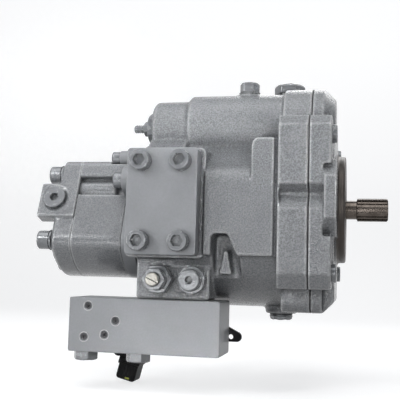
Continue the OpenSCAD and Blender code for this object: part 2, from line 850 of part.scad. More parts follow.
// Shaft, its seal and its bearings
sleeve_r = 14;
sleeve_in = 16;
stub_r = rear_bearing_id / 2 - 1;
x_shaft_end = x_rear + 1;
x_spline = shaft_reach - spline_len;
spline_lead = 0.8;
spline_edge = 1.2;
spline_gap_root = 0.3;
spline_gap_top = 0.36;
module drive_shaft() {
    tooth_gap = 360 / spline_teeth;
    color(dark_steel) difference() {
        turned_x([[x_shaft_end, 0], [x_shaft_end, stub_r], [x_rear_bearing - rear_bearing_w, stub_r],
                  [x_rear_bearing - rear_bearing_w, rear_bearing_id / 2],
                  [x_rear_bearing, rear_bearing_id / 2], [x_rear_bearing, shaft_d / 2],
                  [front_bearing_x - front_bearing_w, shaft_d / 2],
                  [front_bearing_x - front_bearing_w, front_bearing_id / 2],
                  [front_bearing_x, front_bearing_id / 2], [front_bearing_x, seal_journal_d / 2],
                  [pilot_h - 1, seal_journal_d / 2], [pilot_h - 1, neck_d / 2], [x_spline, neck_d / 2],
                  [x_spline + spline_lead, spline_d / 2], [shaft_reach - spline_edge, spline_d / 2],
                  [shaft_reach, spline_d / 2 - spline_edge], [shaft_reach, 0]]);
        for (i = [0 : spline_teeth - 1]) rotate([tooth_gap * (i + 0.5), 0, 0])
            prism_x(x_spline - cut, shaft_reach + cut)
                polygon([for (p = [[-spline_gap_root, 0], [spline_gap_root, 0],
                                   [spline_gap_top, 1], [-spline_gap_top, 1]])
                         [p[0] * PI * spline_d / spline_teeth,
                          spline_d / 2 + (p[1] == 0 ? -spline_depth : cut)]]);
    }
}

module shaft_seal() {
    color(rubber) turned_x([[seal_x, seal_journal_d / 2 + 4], [seal_x, seal_r], [seal_x + seal_w, seal_r],
                            [seal_x + seal_w, seal_journal_d / 2 + seal_wall],
                            [seal_x + seal_w - 2, seal_journal_d / 2 + seal_wall],
                            [seal_x + seal_lip, seal_journal_d / 2 + run_gap],
                            [seal_x + seal_lip - seal_edge, seal_journal_d / 2 + run_gap]]);
}

module seal_retaining_ring() {
    color(steel) difference() {
        ring_x(seal_x + seal_w, seal_x + seal_w + ring_w, seal_r - ring_in, ring_r);
        block([seal_x + seal_w - cut, -ring_gap, -ring_r - cut],
              [seal_x + seal_w + ring_w + cut, ring_gap, ring_lug - seal_r]);
    }
}

// Outer ring, inner ring and balls of a bearing whose front face is at x
track_share = 0.16;
module bearing_groove(x, w, id, od) {
    ball = (od - id) / 2 * ball_share + run_gap;
    translate([x - w / 2, 0, 0]) rotate([0, 90, 0])
        rotate_extrude() translate([(id + od) / 4, 0]) circle(r = ball, $fn = 32);
}
module bearing_outer(x, w, id, od) {
    color(steel) difference() {
        ring_x(x - w, x, (id + od) / 4 + (od - id) / 2 * track_share, od / 2);
        bearing_groove(x, w, id, od);
    }
}
module bearing_inner(x, w, id, od) {
    color(steel) difference() {
        ring_x(x - w, x, id / 2, (id + od) / 4 - (od - id) / 2 * track_share);
        bearing_groove(x, w, id, od);
    }
}
module bearing_ball_set(x, w, id, od) {
    color(zinc) for (i = [0 : bearing_balls - 1]) rotate([360 * i / bearing_balls, 0, 0])
        translate([x - w / 2, 0, (id + od) / 4]) sphere(r = (od - id) / 2 * ball_share, $fn = 32);
}

module front_bearing_outer() {
    bearing_outer(front_bearing_x, front_bearing_w, front_bearing_id, front_bearing_od);
}
module front_bearing_inner() {
    bearing_inner(front_bearing_x, front_bearing_w, front_bearing_id, front_bearing_od);
}
module front_bearing_balls() {
    bearing_ball_set(front_bearing_x, front_bearing_w, front_bearing_id, front_bearing_od);
}
module rear_bearing_outer() {
    bearing_outer(x_rear_bearing, rear_bearing_w, rear_bearing_id, rear_bearing_od);
}
module rear_bearing_inner() {
    bearing_inner(x_rear_bearing, rear_bearing_w, rear_bearing_id, rear_bearing_od);
}
module rear_bearing_balls() {
    bearing_ball_set(x_rear_bearing, rear_bearing_w, rear_bearing_id, rear_bearing_od);
}

// Swash plate, its cradle and liners
rocker_in = 27;
rocker_out = 47;
rocker_r = bed_r - liner_t - run_gap;
arm_neck = 3.6;
arm_neck_drop = 3;
cradle_half = disc_d / 2;
cradle_low = -24;
cradle_high = 26;
module swash_plate() {
    slot_rise = bed_r * sin(tilt_max);
    color(steel) difference() {
        union() {
            rod_x(x_face, x_disc, disc_d / 2);
            for (s = [-1, 1]) intersection() {
                rod_y(s * (rocker_in + rocker_out) / 2 - (rocker_out - rocker_in) / 2,
                      s * (rocker_in + rocker_out) / 2 + (rocker_out - rocker_in) / 2, rocker_r, x_tilt, 0);
                block([x_face + cut, -disc_d, -bed_r], [x_tilt + bed_r, disc_d, bed_r]);
            }
            block([x_face, servo_y - arm_w / 2, 0],
                  [x_disc, servo_y + arm_w / 2, servo_z - control_d / 2 - arm_neck_drop]);
            block([x_tip - arm_neck / 2, servo_y - arm_w / 2, 0],
                  [x_tip + arm_neck / 2, servo_y + arm_w / 2, servo_z]);
            rod_y(servo_y - arm_w / 2, servo_y + arm_w / 2, arm_pin_r, x_tip, servo_z);
        }
        prism_x(x_face - cut, x_tilt + bed_r + cut) {
            for (z = [-1, 1]) translate([0, z * slot_rise]) circle(r = shaft_d / 2 + 4);
            translate([-shaft_d / 2 - 4, -slot_rise]) square([shaft_d + 8, 2 * slot_rise]);
        }
    }
}

cradle_reach = [25, 18];
cradle_slope = 10;
module cradle_pedestals(y0, y1) {
    prism_y(y0, y1)
        polygon([[x_split, cradle_low], [x_tilt + cradle_reach[0], cradle_low],
                 [x_tilt + cradle_reach[0], -cradle_slope], [x_tilt + cradle_reach[1], cradle_slope],
                 [x_tilt + cradle_reach[1], cradle_high], [x_split, cradle_high]]);
}
module swash_cradle() {
    color(dark_steel) difference() {
        union() {
            block([x_split - cradle_base + cut, -cradle_half, cradle_low],
                  [x_split, cradle_half, cradle_high]);
            for (s = [-1, 1]) cradle_pedestals(s > 0 ? rocker_in - 2 : -cradle_half,
                                               s > 0 ? cradle_half : -rocker_in + 2);
        }
        rod_y(-cradle_half - cut, cradle_half + cut, bed_r, x_tilt, 0);
        rod_x(x_split - bed_r, x_split + cut, rocker_in - 4);
    }
}

module cradle_liners() {
    liner_low = 34;
    liner_high = 46;
    color(bronze) for (s = [-1, 1])
        translate([x_tilt, s * (rocker_in + rocker_out) / 2 - (rocker_out - rocker_in) / 2, 0])
            rotate([-90, 0, 0])
            rotate([0, 0, -liner_high]) rotate_extrude(angle = liner_low + liner_high)
                translate([bed_r - liner_t, 0]) square([liner_t - slide_gap, rocker_out - rocker_in]);
}

// Cylinder barrel and what turns with it
x_bore_end = x_barrel_back + 6;
spring_r = shaft_d / 2 + 4;
spring_wire = 2;
spring_well = 20;
module at_pistons() {
    for (i = [0 : piston_n - 1]) rotate([360 * i / piston_n, 0, 0]) translate([0, 0, pitch_r]) children();
}
module cylinder_barrel() {
    color(steel) difference() {
        turned_x([[x_barrel_back, 0], [x_barrel_back, barrel_d / 2 - 1], [x_barrel_back + 1, barrel_d / 2],
                  [x_barrel - 1, barrel_d / 2], [x_barrel, barrel_d / 2 - 1], [x_barrel, 0]]);
        rod_x(x_barrel_back - cut, x_barrel + cut, shaft_d / 2 + slide_gap);
        rod_x(x_barrel - spring_well, x_barrel + cut, spring_r + spring_wire + 1);
        at_pistons() {
            rod_x(x_bore_end, x_barrel + cut, piston_d / 2);
            rod_x(x_barrel_back - cut, x_bore_end + cut, piston_d / 4);
        }
    }
}

ball_r = piston_d * 0.39;
module pistons() {
    color(zinc) at_pistons() {
        translate([x_tilt, 0, 0]) sphere(r = ball_r);
        turned_x([[x_tilt - piston_len, 0], [x_tilt - piston_len, piston_d / 2 - slide_gap],
                  [x_tilt - shoe_h - 2, piston_d / 2 - slide_gap], [x_tilt - shoe_h, ball_r * 0.7],
                  [x_tilt, ball_r * 0.7], [x_tilt, 0]]);
    }
}

shoe_flange = 4;
shoe_r = piston_d * 0.6;
shoe_neck_r = ball_r + 1.8;
module slipper_shoes() {
    color(bronze) at_pistons() rotate([0, 90, 0]) rotate_extrude() difference() {
        polygon([[0, x_tilt - 3], [shoe_neck_r, x_tilt - 3], [shoe_neck_r, x_face - shoe_flange],
                 [shoe_r, x_face - shoe_flange], [shoe_r, x_face - film], [0, x_face - film]]);
        translate([0, x_tilt]) circle(r = ball_r + run_gap);
    }
}

guide_r = 22;
retainer_t = 3;
module retainer_plate() {
    color(steel) difference() {
        rod_x(x_face - shoe_flange - retainer_t, x_face - shoe_flange - film, pitch_r + shoe_r + 1.5);
        translate([x_tilt, 0, 0]) sphere(r = guide_r + run_gap);
        at_pistons() rod_x(x_tilt - bed_r, x_face + cut, shoe_neck_r + 0.4);
    }
}

guide_front = 3;
guide_back = 12;
module ball_guide() {
    color(dark_steel) difference() {
        intersection() {
            translate([x_tilt, 0, 0]) sphere(r = guide_r);
            rod_x(x_tilt - guide_back, x_tilt + guide_front, guide_r + cut);
        }
        rod_x(x_tilt - guide_r - cut, x_tilt + guide_r + cut, shaft_d / 2 + slide_gap);
    }
}

module barrel_spring() {
    color(steel) coil_spring(x_barrel - spring_well, x_tilt - guide_back, spring_r, spring_wire, 4);
}

module valve_plate() {
    color(bronze) difference() {
        ring_x(x_valve, x_valve + valve_plate_t, sleeve_r + 4, barrel_d / 2);
        for (s = [-1, 1]) kidney_x(x_valve - cut, x_valve + valve_plate_t + cut, s);
    }
}

// Servo: control piston, spring and stroke limiter
module control_piston() {
    slot = arm_pin_r + arm_play;
    color(steel) translate([0, servo_y, servo_z]) difference() {
        turned_x([[x_control, 0], [x_control, control_d / 2 - 1.5],
                  [x_control + 1.5, control_d / 2 - slide_gap],
                  [x_tip + control_front - 1, control_d / 2 - slide_gap],
                  [x_tip + control_front, control_d / 2 - 1], [x_tip + control_front, 0]]);
        rod_x(x_tip + slot + pocket_wall, x_tip + control_front + cut, pocket_r);
        block([x_tip - slot, -arm_w / 2 - 1, -control_d], [x_tip + slot, arm_w / 2 + 1, arm_pin_r + 2]);
    }
}

bias_wire_r = 1.3;
bias_turns = 5;
module bias_spring() {
    color(dark_steel) translate([0, servo_y, servo_z])
        coil_spring(x_tip + arm_pin_r + arm_play + pocket_wall, x_split + spring_seat,
                    pocket_r - 2.5, bias_wire_r, bias_turns);
}

limiter_cap_r = 12;
limiter_cap_af = 27;
limiter_cap_h = 7;
limiter_thread = 10;
limiter_nut_af = 13;
limiter_nut_h = 5.5;
module limiter_cap() {
    color(paint_smooth) translate([0, servo_y, servo_z]) difference() {
        union() {
            facing_left(x_block, 0, 0) hex_head(limiter_cap_af, limiter_cap_h);
            rod_x(x_block - cut, x_block + limiter_thread, limiter_cap_r - thread_gap);
        }
        rod_x(x_block - limiter_cap_h - cut, x_block + limiter_thread + cut, limiter_d / 2 + run_gap);
    }
}
module limiter_nut() {
    color(paint_smooth) translate([0, servo_y, servo_z]) difference() {
        facing_left(x_block - limiter_cap_h, 0, 0) hex_head(limiter_nut_af, limiter_nut_h);
        rod_x(x_block - limiter_cap_h - limiter_nut_h - cut, x_block, limiter_d / 2 + run_gap);
    }
}
module limiter_screw() {
    tail = x_block - limiter_reach;
    color(paint_smooth) translate([0, servo_y, servo_z])
        turned_x([[tail, 0], [tail, limiter_d / 2 - 1], [tail + 1, limiter_d / 2],
                  [x_limiter - 1, limiter_d / 2], [x_limiter, limiter_d / 2 - 1], [x_limiter, 0]]);
}

// Suction port plate
plate_thread = 20;
seal_ring_r = suction_bore_r + 4;
seal_ring_wire = 1.75;
module suction_plate() {
    color(paint_smooth) difference() {
        prism_y(-port_y - plate_t, -port_y)
            rounded_rect(x_port - plate_w / 2, x_port + plate_w / 2,
                         port_z - plate_h / 2, port_z + plate_h / 2, 3);
        at_plate_screws(-port_y) translate([0, 0, -cut])
            cylinder(h = plate_t + 2 * cut, r = plate_screw_d / 2 + hole_gap);
        facing_front(x_port, -port_y, port_z) translate([0, 0, -cut]) difference() {
            cylinder(h = cut + 1.5 * seal_ring_wire, r = seal_ring_r + seal_ring_wire + 0.2);
            cylinder(h = cut + 2 * seal_ring_wire, r = seal_ring_r - seal_ring_wire - 0.2);
        }
    }
}
module suction_plate_screws() {
    color(paint_smooth) at_plate_screws(-port_y - plate_t)
        cap_screw(plate_screw_d, plate_t + plate_thread - 3, plate_screw_d * 1.5, plate_screw_d);
}
module suction_seal_ring() {
    color(rubber) facing_front(x_port, -port_y, port_z)
        rotate_extrude() translate([seal_ring_r - seal_ring_wire * 0.9, 0])
            square([1.8 * seal_ring_wire, 1.45 * seal_ring_wire]);
}

// Relief valve and the plug beside it
relief_depth = 34;
relief_cartridge_r = 10;
relief_hex_h = 12;
relief_neck_h = 5;
relief_nut_h = 7;
relief_nut_af = 18.5;
relief_bore_r = 4.5;
adjuster_reach = 5;
relief_top = relief_hex_h + relief_neck_h;
adjuster_in = 16;
poppet_len = 14;
module relief_valve_body() {
    color(paint_smooth) facing_front(x_relief, -valve_y, valve_z) difference() {
        union() {
            threaded(relief_depth, relief_cartridge_r);
            hex_head(relief_af, relief_hex_h);
            cylinder(h = relief_top, r = adjuster_d / 2 + 3.5);
        }
        translate([0, 0, relief_top - adjuster_in])
            cylinder(h = adjuster_in + cut, r = adjuster_d / 2 + run_gap);
        translate([0, 0, -relief_depth + 4]) cylinder(h = relief_depth + relief_top, r = relief_bore_r);
        translate([0, 0, -relief_depth]) cylinder(h = relief_depth, r = relief_bore_r - 2);
    }
}
module relief_lock_nut() {
    color(paint_smooth) facing_front(x_relief, -valve_y - relief_top, valve_z) difference() {
        hex_head(relief_nut_af, relief_nut_h);
        translate([0, 0, -cut]) cylinder(h = relief_nut_h + 2 * cut, r = adjuster_d / 2 + run_gap);
    }
}
module relief_adjuster() {
    slot_w = 1.8;
    slot_depth = 2.2;
    top = relief_top + relief_nut_h + adjuster_reach;
    color(zinc) facing_front(x_relief, -valve_y, valve_z) difference() {
        rotate_extrude()
            polygon([[0, relief_top - adjuster_in + 1], [adjuster_d / 2, relief_top - adjuster_in + 1],
                     [adjuster_d / 2, top - 1], [adjuster_d / 2 - 1, top], [0, top]]);
        rotate([0, 0, -25]) translate([-adjuster_d, -slot_w / 2, top - slot_depth])
            cube([2 * adjuster_d, slot_w, slot_depth + cut]);
    }
}
relief_seat = -relief_depth + 4;
module relief_poppet() {
    color(steel) facing_front(x_relief, -valve_y, valve_z)
        rotate_extrude()
            polygon([[0, relief_seat + 0.3], [relief_bore_r - 2.4, relief_seat + 0.3],
                     [relief_bore_r - slide_gap, relief_seat + 3],
                     [relief_bore_r - slide_gap, relief_seat + poppet_len],
                     [0, relief_seat + poppet_len]]);
}
relief_wire_r = 0.8;
relief_turns = 6;
module relief_spring() {
    low = relief_seat + poppet_len;
    high = relief_top - adjuster_in + 1;
    color(dark_steel) facing_front(x_relief, -valve_y, valve_z) rotate([0, -90, 0])
        coil_spring(low, high, relief_bore_r - relief_wire_r - 0.5, relief_wire_r, relief_turns);
}

valve_plug_depth = 22;
valve_plug_thread_r = 8;
module valve_plug() {
    collar_h = 12;
    head_h = 22;
    valve_plug_hex = 6;
    color(paint_smooth) facing_front(x_plug, -valve_y, valve_z) difference() {
        union() {
            threaded(valve_plug_depth, valve_plug_thread_r);
            cylinder(h = collar_h, r = valve_plug_d / 2 + 2.5);
            rotate_extrude() polygon([[0, 0], [valve_plug_d / 2, 0], [valve_plug_d / 2, head_h - 1],
                                      [valve_plug_d / 2 - 1, head_h], [0, head_h]]);
        }
        translate([0, 0, head_h - valve_plug_hex]) hex_prism(valve_plug_hex, valve_plug_hex + cut);
    }
}

// Screw plugs on top and below
plug_thread = 12;
case_thread_r = 12;
bleed_thread_r = 7;
drain_thread_r = 8;
module hex_plug(af, h, flange_r, flange_h, thread_r) {
    threaded(plug_thread, thread_r);
    cylinder(h = flange_h, r = flange_r);
    translate([0, 0, flange_h - 0.01]) hex_head(af, h - flange_h);
}
bleed_plug_af = 17;
bleed_plug_h = 11.5;
case_plug_af = 27;
case_plug_h = 11.5;
drain_plug_af = 19;
drain_plug_h = 5.5;
plug_lip = 1.5;
plug_lip_h = 2.2;
module bleed_plug() {
    color(paint_smooth) translate([bleed_x, servo_y, bleed_boss_top])
        hex_plug(bleed_plug_af, bleed_plug_h, bleed_plug_af / 2 + plug_lip, plug_lip_h, bleed_thread_r);
}
module case_plug() {
    color(paint_smooth) translate([case_plug_x, case_plug_y, case_boss_top])
        hex_plug(case_plug_af, case_plug_h, case_plug_af / 2 + plug_lip, plug_lip_h, case_thread_r);
}
module drain_plug() {
    color(paint_smooth) facing_down(drain_x, 0, drain_boss_bottom)
        hex_plug(drain_plug_af, drain_plug_h, drain_plug_af / 2 + plug_lip, plug_lip_h, drain_thread_r);
}

// Gear pump
// Lower body between the flats, its corners rounded into one large arc
module gear_foot(inset) {
    half = gear_half_w - inset;
    translate([-half, foot_start]) square([2 * half, foot_corner_t - foot_start]);
    for (n = [-1, 1]) translate([n * foot_corner_n, foot_corner_t]) circle(r = foot_corner_r - inset);
    reach = 3 * (foot_corner_t - foot_centre);
    translate([0, foot_centre]) intersection() {
        circle(r = foot_r - inset);
        polygon([[0, 0], [3 * foot_corner_n, reach], [-3 * foot_corner_n, reach]]);
    }
}
module gear_outline(inset = 0) {
    half = plug_boss_n - inset;
    gear_frame() {
        for (t = [0, gear_centres]) translate([0, t]) circle(r = gear_core_r);
        translate([-gear_core_r, 0]) square([2 * gear_core_r, gear_centres]);
        rounded_rect(-half, half, inset - gear_bar_out, -gear_bar_in, gear_bar_round);
        rounded_rect(-half, half, gear_bar_round - gear_bar_out, -gear_bar_in, gear_bar_edge);
        gear_foot(inset);
    }
}
module gear_bores() {
    gear_frame() for (t = [0, gear_centres]) translate([0, t]) circle(r = gear_bore_r);
}
module gear_screw_holes(x0, x1, r) {
    at_gear_screws(x1) cylinder(h = x1 - x0, r = r);
}

// Places of the gear pump's mounting screws, as children along -X at their seats
mount_shank = adapter_t + lift_ear + 12;
module at_mount_screws() {
    for (n = [-1, 1]) {
        p = flange_point(n * flange_screw_n / 2, 0);
        facing_left(x_adapter, p[0], p[1]) children();
    }
}
module at_lift_screw() {
    p = flange_point(lift_screw[0], lift_screw[1]);
    facing_left(x_adapter - lift_ear, p[0], p[1]) children();
}

adapter_thread = adapter_t - 1;
module gear_adapter() {
    color(paint_smooth) difference() {
        union() {
            prism_x(x_adapter, x_rear) {
                gear_outline();
                flange_frame() {
                    rounded_rect(-flange_screw_n / 2 - flange_ear_r, flange_screw_n / 2 + flange_ear_r,
                                 -flange_ear_r, flange_ear_r, flange_ear_r - 1);
                    polygon([lift_screw + [0, lift_ear_r - 1], lift_screw + [0, 1 - lift_ear_r],
                             [0, -gear_core_r], [0, 0]]);
                }
            }
            prism_x(x_adapter - lift_ear, x_rear) flange_frame() translate(lift_screw) circle(r = lift_ear_r);
        }
        rod_x(x_adapter - cut, x_rear + cut, sleeve_r + 1);
        at_mount_screws() drilled(mount_shank, flange_screw_d / 2 + hole_gap);
        at_lift_screw() drilled(mount_shank, lift_screw_d / 2 + hole_gap);
        gear_screw_holes(x_adapter - cut, x_adapter + adapter_thread, gear_screw_d / 2);
    }
}

module gear_body() {
    color(paint) difference() {
        union() {
            prism_x(x_gear_cover, x_adapter) gear_outline();
            prism_x(x_gear_cover, x_adapter - web_clear) gear_frame()
                for (n = [-1, 1]) translate([n * web_n, web_t]) circle(r = web_r);
        }
        prism_x(x_gear_cover - cut, x_gear_wall) gear_bores();
        rod_x(x_gear_wall - cut, x_adapter + cut, journal_d / 2 + 1);
        gear_screw_holes(x_gear_cover - cut, x_adapter + cut, gear_screw_d / 2 + hole_gap);
        at_lift_screw() translate([0, 0, -lift_ear - cut])
            cylinder(h = lift_ear + lift_screw_d + lift_room + cut, r = lift_ear_r + lift_room);
    }
}

cover_lip = 2.5;
module gear_cover() {
    color(paint) difference() {
        union() {
            for (inset = [0, cover_lip]) {
                half = plug_boss_n - inset;
                prism_x(x_gear_end + cover_lip - inset, x_gear_cover) {
                    gear_outline(inset);
                    gear_frame() translate([-half, -gear_bar_in - gear_bar_edge])
                        square([2 * half, plug_boss_t + plug_boss_half + gear_bar_in + gear_bar_edge]);
                }
            }
            prism_x(x_gear_end - plug_boss_back, x_gear_cover) gear_frame()
                translate([plug_boss_n - plug_boss_depth, plug_boss_t - plug_boss_half])
                square([plug_boss_depth, 2 * plug_boss_half]);
        }
        gear_screw_holes(x_gear_end - plug_boss_back - cut, x_gear_cover + cut, gear_screw_d / 2 + hole_gap);
        at_gear_port() drilled(gear_port_depth, gear_plug_d / 2 - 2);
        at_gear_port() translate([0, 0, -1]) cylinder(h = 1 + cut, r = gear_plug_d / 2 + 2);
    }
}

// Place of the port plug on the cover's boss, as children along n
module at_gear_port() {
    p = gear_point(plug_boss_n, gear_port_t);
    translate([x_gear_port, p[0], p[1]]) rotate([90 - gear_roll, 0, 0]) children();
}
module gear_port_plug() {
    color(paint_smooth) at_gear_port() difference() {
        union() {
            translate([0, 0, 2 - gear_port_depth])
                cylinder(h = gear_port_depth - 2, r = gear_plug_d / 2 - 2 - thread_gap);
            translate([0, 0, -1]) cylinder(h = gear_plug_head + 1, r = gear_plug_d / 2);
        }
        translate([0, 0, gear_plug_head - gear_plug_hex / 2 - 1]) hex_prism(gear_plug_hex, gear_plug_hex);
    }
}

module gear_cover_screws() {
    shank = gear_cover_t + x_adapter - x_gear_cover + adapter_thread - 1;
    color(paint_smooth) at_gear_screws(x_gear_end) {
        cylinder(h = gear_washer_t, r = gear_screw_d * 0.8);
        translate([0, 0, gear_washer_t])
            cap_screw(gear_screw_d, shank + gear_washer_t, gear_screw_d * 1.5, gear_screw_d);
    }
}
module gear_mount_screws() {
    color(paint_smooth) {
        at_mount_screws() cap_screw(flange_screw_d, mount_shank - 1, flange_screw_d * 1.5, flange_screw_d);
        at_lift_screw() cap_screw(lift_screw_d, mount_shank - 1, lift_screw_d * 1.6, lift_screw_d);
    }
}

// Involute teeth: half a tooth's angle at a radius, and one tooth's outline
gear_base_r = pitch_gear_r * cos(gear_pressure);
gear_root_r = pitch_gear_r - gear_dedendum;
function roll_angle(r) = let (a = acos(min(1, gear_base_r / r))) tan(a) * 180 / PI - a;
tooth_half = 90 / gear_teeth - gear_backlash / 2 / pitch_gear_r * 90 / PI;
function flank_angle(r) = tooth_half + roll_angle(pitch_gear_r) - roll_angle(r);
flank_steps = 5;
flank_radii = [for (i = [0 : flank_steps]) gear_base_r + (gear_tip_r - gear_base_r) * i / flank_steps];
function polar(r, a) = [r * cos(a), r * sin(a)];
function tooth_points(a) = concat(
    [polar(gear_root_r, a - flank_angle(gear_base_r))],
    [for (r = flank_radii) polar(r, a - flank_angle(r))],
    [for (i = [flank_steps : -1 : 0]) polar(flank_radii[i], a + flank_angle(flank_radii[i]))],
    [polar(gear_root_r, a + flank_angle(gear_base_r))]
);
module gear_teeth_outline(phase) {
    polygon([for (i = [0 : gear_teeth - 1]) each tooth_points(phase + 360 * i / gear_teeth)]);
}
gear_play = 0.1;
module drive_gear() {
    color(steel) {
        prism_x(x_gear_back + gear_play, x_gear_front - gear_play) gear_frame() gear_teeth_outline(90);
        rod_x(x_gear_cover + 1, x_rear - 1, journal_d / 2);
    }
}
module driven_gear() {
    p = gear_point(0, gear_centres);
    color(steel) {
        prism_x(x_gear_back + gear_play, x_gear_front - gear_play) gear_frame()
            translate([0, gear_centres]) gear_teeth_outline(-90 + 180 / gear_teeth);
        rod_x(x_gear_cover + 1, x_gear_wall - 1, journal_d / 2, p[0], p[1]);
    }
}
module bearing_block(x0, x1) {
    color(bronze) prism_x(x0, x1) difference() {
        gear_frame() for (t = [0, gear_centres]) translate([0, t]) circle(r = gear_bore_r - slide_gap);
        gear_frame() for (t = [0, gear_centres]) translate([0, t]) circle(r = journal_d / 2 + run_gap);
    }
}
module front_bearing_block() {
    bearing_block(x_gear_front, x_gear_wall);
}
module rear_bearing_block() {
    bearing_block(x_gear_cover, x_gear_back);
}
module coupling_sleeve() {
    color(dark_steel) difference() {
        rod_x(x_adapter + 1, x_rear + sleeve_in, sleeve_r);
        rod_x(x_rear, x_rear + sleeve_in + cut, stub_r + slide_gap);
        rod_x(x_adapter, x_rear + cut, journal_d / 2 + slide_gap);
    }
}

// Manifold block with its plugs, solenoid valve and harness clip
manifold_screw_d = 8;
manifold_thread = 16;
screw_back_y = manifold_y1 - 9;
screw_mid_x = x_relief + (relief_cartridge_r + plug_pitch - valve_plug_thread_r) / 2;
screw_left_x = x_relief - relief_cartridge_r - manifold_screw_d / 2 - 1.5;
screw_places = [[screw_mid_x, manifold_y0 + 16], [screw_mid_x, screw_back_y], [screw_left_x, screw_back_y]];
manifold_counterbore = 10;
module at_manifold_screws(z) {
    for (p = screw_places) facing_down(p[0], p[1], z) children();
}
set_plugs = [[18, -7.5], [44, -20], [15, -35], [34, -32.5]];
set_plug_r = 2.7;
set_plug_ring = 1.7;
set_plug_sink = 1;
set_plug_depth = 8;
set_plug_hex = 2.5;
module at_set_plugs() {
    for (p = set_plugs) facing_front(manifold_x0 + p[0], manifold_y0, manifold_z1 + p[1]) children();
}
hex_plug_x = [10, 60];
module at_hex_plugs() {
    for (x = hex_plug_x)
        facing_down(manifold_x0 + x, (manifold_y0 + manifold_y1) / 2 - 4, manifold_z0) children();
}
manifold_plug_r = 7;
manifold_plug_af = 20;
manifold_plug_h = 9;
solenoid_thread_r = 10;
solenoid_depth = 22;
module manifold_block() {
    edge = 0.8;
    color(paint_smooth) difference() {
        prism_y(manifold_y0, manifold_y1)
            polygon([[manifold_x0 + edge, manifold_z0], [manifold_x1 - edge, manifold_z0],
                     [manifold_x1, manifold_z0 + edge], [manifold_x1, manifold_z1 - edge],
                     [manifold_x1 - edge, manifold_z1], [manifold_x0 + edge, manifold_z1],
                     [manifold_x0, manifold_z1 - edge], [manifold_x0, manifold_z0 + edge]]);
        at_set_plugs() {
            drilled(set_plug_depth, set_plug_r);
            translate([0, 0, -set_plug_sink])
                cylinder(h = set_plug_sink + cut, r1 = set_plug_r, r2 = set_plug_r + set_plug_ring);
        }
        at_hex_plugs() drilled(plug_thread, manifold_plug_r);
        facing_back(coil_x, manifold_y1, coil_z) drilled(solenoid_depth, solenoid_thread_r);
        facing_back(clip_x - clip_tail, manifold_y1, clip_z) drilled(clip_thread, clip_screw_d / 2);
        at_manifold_screws(manifold_z0) {
            translate([0, 0, -manifold_h - cut])
                cylinder(h = manifold_h + 2 * cut, r = manifold_screw_d / 2 + hole_gap);
            drilled(manifold_counterbore, manifold_screw_d * 0.85);
        }
    }
}
module manifold_set_plugs() {
    color(dark_steel) at_set_plugs() difference() {
        translate([0, 0, 1 - set_plug_depth])
            cylinder(h = set_plug_depth - set_plug_sink - 1.2, r = set_plug_r - thread_gap);
        translate([0, 0, -set_plug_depth / 2]) hex_prism(set_plug_hex, set_plug_depth);
    }
}
module manifold_hex_plugs() {
    color(paint_smooth) at_hex_plugs() {
        threaded(plug_thread, manifold_plug_r);
        hex_head(manifold_plug_af, manifold_plug_h);
    }
}
module manifold_screws() {
    color(dark_steel) at_manifold_screws(manifold_z0 + manifold_counterbore)
        cap_screw(manifold_screw_d, manifold_h - manifold_counterbore + manifold_thread - 2,
                  manifold_screw_d * 1.6, manifold_screw_d);
}
tube_r = 7;
tube_tail = 8;
solenoid_af = 22;
solenoid_nut_af = 19;
solenoid_nut_h = 6;
module solenoid_valve() {
    color(steel) facing_back(coil_x, manifold_y1, coil_z) {
        threaded(solenoid_depth, solenoid_thread_r);
        hex_prism(solenoid_af, coil_stand - 0.2);
        cylinder(h = coil_stand + coil_l + tube_tail, r = tube_r);
    }
}
module solenoid_nut() {
    color(dark_steel) facing_back(coil_x, coil_y1, coil_z) difference() {
        hex_head(solenoid_nut_af, solenoid_nut_h);
        translate([0, 0, -cut]) cylinder(h = solenoid_nut_h + 2 * cut, r = tube_r + thread_gap);
    }
}

// Coil turned on its corner, with the connector moulded to its lower side
connector_lean = 14;
connector_side = 19;
connector_w = 19;
connector_drop = 50;
connector_top = 8;
connector_round = 3;
connector_collar = 4;
coil_round = 5;
module solenoid_coil() {
    collar_low = 4 * connector_collar - connector_drop;
    color(plastic) difference() {
        union() {
            prism_y(coil_y0, coil_y1) translate([coil_x, coil_z]) rotate(45)
                rounded_rect(-coil_w / 2, coil_w / 2, -coil_w / 2, coil_w / 2, coil_round);
            translate([coil_x + connector_side, 0, coil_z]) rotate([0, connector_lean, 0]) {
                prism_y(coil_y0 + 1, coil_y0 + 1 + connector_w)
                    rounded_rect(-connector_w / 2, connector_w / 2, -connector_drop, -connector_top,
                                 connector_round);
                prism_y(coil_y0, coil_y0 + 2 + connector_w)
                    rounded_rect(-connector_w / 2 - 1, connector_w / 2 + 1,
                                 collar_low, collar_low + connector_collar, 1);
            }
        }
        rod_y(coil_y0 - cut, coil_y1 + cut, tube_r + run_gap, coil_x, coil_z);
    }
}

